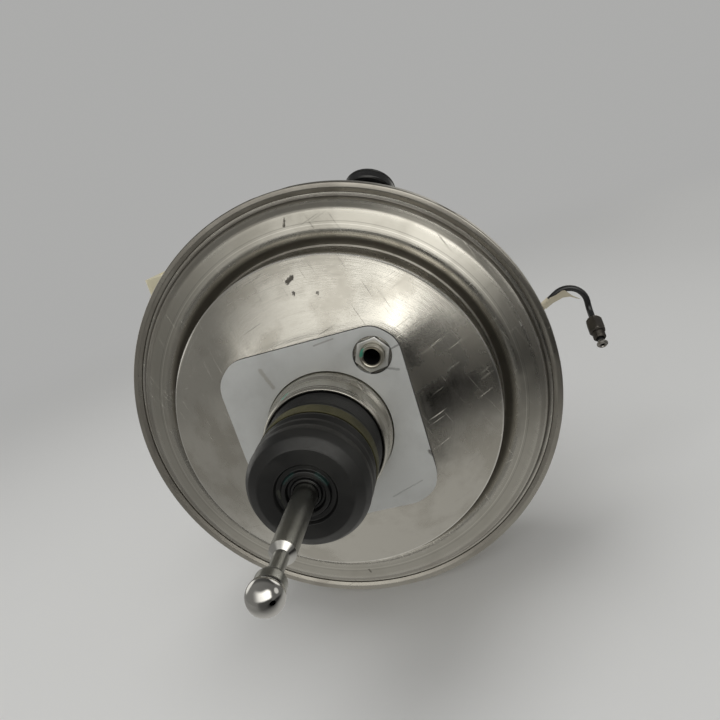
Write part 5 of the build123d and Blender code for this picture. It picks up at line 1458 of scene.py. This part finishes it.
@dataclass
class Studio:
    """Pale floor, camera and soft lights.

    Attributes:
        floor_z: Height of the floor, in millimetres.
        dome_r: Radius of the gloss dome, in metres.
        patches: Soft lights on the dome.
        pools: Soft lights on the floor, as the gloss shows it.
        floor_tone: Colour of the floor.
        fade: Where the floor starts and ends its change into the backdrop's tone, in metres.
        eye: Place of the camera, in millimetres.
        right: Its direction to the right.
        up: Its direction upwards.
        back: Its direction away from the object.
        lens: Its focal length, in millimetres.
    """

    floor_z: float = -142.8
    dome_r: float = 2.0
    patches: tuple[Patch, ...] = (
        Patch((0.45, 0.85, 0.28), 24.0, 0.9),
        Patch((-0.80, 0.55, 0.25), 22.0, 0.8),
        Patch((0.97, 0.10, 0.22), 16.0, 0.6),
        Patch((0.20, -1.0, -0.06), 42.0, -0.10),
    )
    pools: tuple[Patch, ...] = (
        Patch((0.04, -0.02, 0.0), 0.36, 0.26),
        Patch((0.44, -0.32, 0.0), 0.45, -0.12),
        Patch((-0.60, -0.20, 0.0), 0.70, 0.06),
    )
    floor_tone: Triple = (0.80, 0.80, 0.79)
    fade: Point = (0.65, 2.1)
    eye: Triple = (112.4, -392.3, 141.2)
    right: Triple = (0.9448, 0.1147, -0.3071)
    up: Triple = (0.2626, 0.2958, 0.9185)
    back: Triple = (0.1962, -0.9483, 0.2493)
    lens: float = 36.05

    def camera(self) -> None:
        """Camera at its place and tilt."""
        data = bpy.data.cameras.new("camera")
        data.sensor_width = 36.0
        data.lens = self.lens
        data.clip_start = 0.01
        data.clip_end = 50.0
        obj = bpy.data.objects.new("camera", data)
        bpy.context.scene.collection.objects.link(obj)
        turn = Matrix((self.right, self.up, self.back)).transposed().to_4x4()
        obj.matrix_world = Matrix.Translation(Vector(self.eye) * MM) @ turn
        bpy.context.scene.camera = obj

    def floor(self) -> None:
        """Pale floor that runs out into the backdrop's own tone."""
        mesh = bmesh.new()
        bmesh.ops.create_circle(mesh, cap_ends=True, segments=128, radius=9.0)
        bmesh.ops.translate(mesh, verts=mesh.verts, vec=(0, 0, self.floor_z * MM))
        graph = Graph("floor")
        plain = {"Base Color": (*self.floor_tone, 1), "Roughness": 0.45, "Specular IOR Level": 0.3}
        near = graph.node("ShaderNodeBsdfPrincipled", plain)
        far = graph.node("ShaderNodeEmission", {"Color": PALE_TINT, "Strength": 1.0})
        reach = graph.length(graph.x, graph.y)
        blend = graph.node("ShaderNodeMixShader", {0: reach.step(*self.fade)})
        graph.tree.links.new(near.outputs[0], blend.inputs[1])
        graph.tree.links.new(far.outputs[0], blend.inputs[2])
        obj = linked("floor", mesh)
        obj.data.materials.append(graph.shown(blend))

    def dome(self) -> None:
        """Shell round the set that only the object's gloss shows, with a workshop's soft light."""
        mesh = bmesh.new()
        bmesh.ops.create_uvsphere(mesh, u_segments=96, v_segments=64, radius=self.dome_r)
        # its lower half is flattened, so that it ends just above the floor
        for vert in mesh.verts:
            if vert.co.z < 0:
                vert.co.z *= -(self.floor_z + 0.1) * MM / self.dome_r
        obj = linked("gloss_dome", mesh)
        graph = Graph("gloss_dome")
        x, y, z = graph.x, graph.y, graph.z
        reach = graph.length(x, y, z)
        east, north, high = x / reach, y / reach, z / reach
        tone = 0.18 - east * 0.04
        tone = tone - (north.step(0.25, 0.6) * high.step(0.35, 0.6)) * 0.11
        window = (-north).step(0.16, 0.48) * high.step(0.05, 0.24) * high.step(0.90, 0.70)
        window = window * east.step(-0.80, -0.12) * east.step(0.86, 0.66)
        tone = tone + window * (1.22 + east * 0.95)
        for patch in self.patches:
            way = Vector(patch.way).normalized()
            facing = east * way.x + north * way.y + high * way.z
            outer, inner = (math.cos(math.radians(patch.reach * share)) for share in (1.0, 0.55))
            tone = tone + facing.step(outer, inner) * patch.level
        for pool in self.pools:
            gap = graph.length(x - pool.way[0], y - pool.way[1])
            tone = tone + gap.step(pool.reach, pool.reach * 0.3) * z.step(0.0, -0.08) * pool.level
        warm = graph.vector(tone, tone * 0.985, tone * 0.93)
        shade = graph.node("ShaderNodeEmission", {"Color": warm, "Strength": 1.0})
        obj.data.materials.append(graph.shown(shade))
        for ray in ("camera", "diffuse", "shadow", "transmission"):
            setattr(obj, "visible_" + ray, False)

    def room(self) -> None:
        """Plain pale room."""
        world = bpy.data.worlds.new("room")
        world.use_nodes = True
        shade = world.node_tree.nodes["Background"]
        shade.inputs[0].default_value = PALE_TINT
        shade.inputs[1].default_value = 1.0
        bpy.context.scene.world = world

    def softbox(
        self,
        name: str,
        direction: Triple,
        distance: float,
        size: Point,
        level: float,
        glossy: bool = False,
    ) -> None:
        """Rectangular soft light, aimed at the object.

        Args:
            name: Its name.
            direction: Where it stands, seen from the object.
            distance: How far off, in millimetres.
            size: Its two sides, in millimetres.
            level: Brightness that its face shows.
            glossy: Whether the object's gloss shows it.
        """
        way = Vector(direction).normalized()
        data = bpy.data.lights.new(name, "AREA")
        data.shape = "RECTANGLE"
        data.size, data.size_y = size[0] * MM, size[1] * MM
        data.energy = level * math.pi * size[0] * size[1] * MM * MM
        obj = bpy.data.objects.new(name, data)
        obj.location = way * distance * MM
        obj.rotation_mode = "QUATERNION"
        obj.rotation_quaternion = (-way).to_track_quat("-Z", "Y")
        obj.visible_camera = False
        obj.visible_glossy = glossy
        bpy.context.scene.collection.objects.link(obj)

    def build(self) -> None:
        """Set the stage, the lights and the camera."""
        self.floor()
        self.room()
        self.softbox("ceiling", (-0.15, 0.10, 1.0), 1500, (1300, 900), 2.3)
        self.softbox("front_wide", (-0.16, -0.74, 0.60), 1700, (1500, 600), 0.9)
        self.softbox("front_window", (0.50, -0.78, 0.38), 1450, (170, 200), 2.2, glossy=True)
        self.dome()
        self.camera()
        bpy.context.scene.view_settings.view_transform = "Standard"


def dress_cad(painter: Painter) -> None:
    """Give every CAD node that still shows its slot's finish."""
    slots = {entry["node"]: entry["material_slot"] for entry in frame["record"]["subparts"]}
    for node, obj in frame["nodes"].items():
        obj.data.materials.clear()
        obj.data.materials.append(painter.material(slots[node]))


def main() -> None:
    """Build the finished booster and the studio round it."""
    logging.basicConfig(level=logging.INFO)
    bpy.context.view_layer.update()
    painter = Painter(FINISHES)
    dress_cad(painter)
    for maker in (Casing, PedalEnd, Hydraulics, CheckValve, OutletPipe):
        assembly = maker(painter)
        assembly.build()
        LOG.info("%s: %s", maker.__name__, ", ".join(assembly.made))
    Studio().build()


if __name__ == "__main__":
    main()
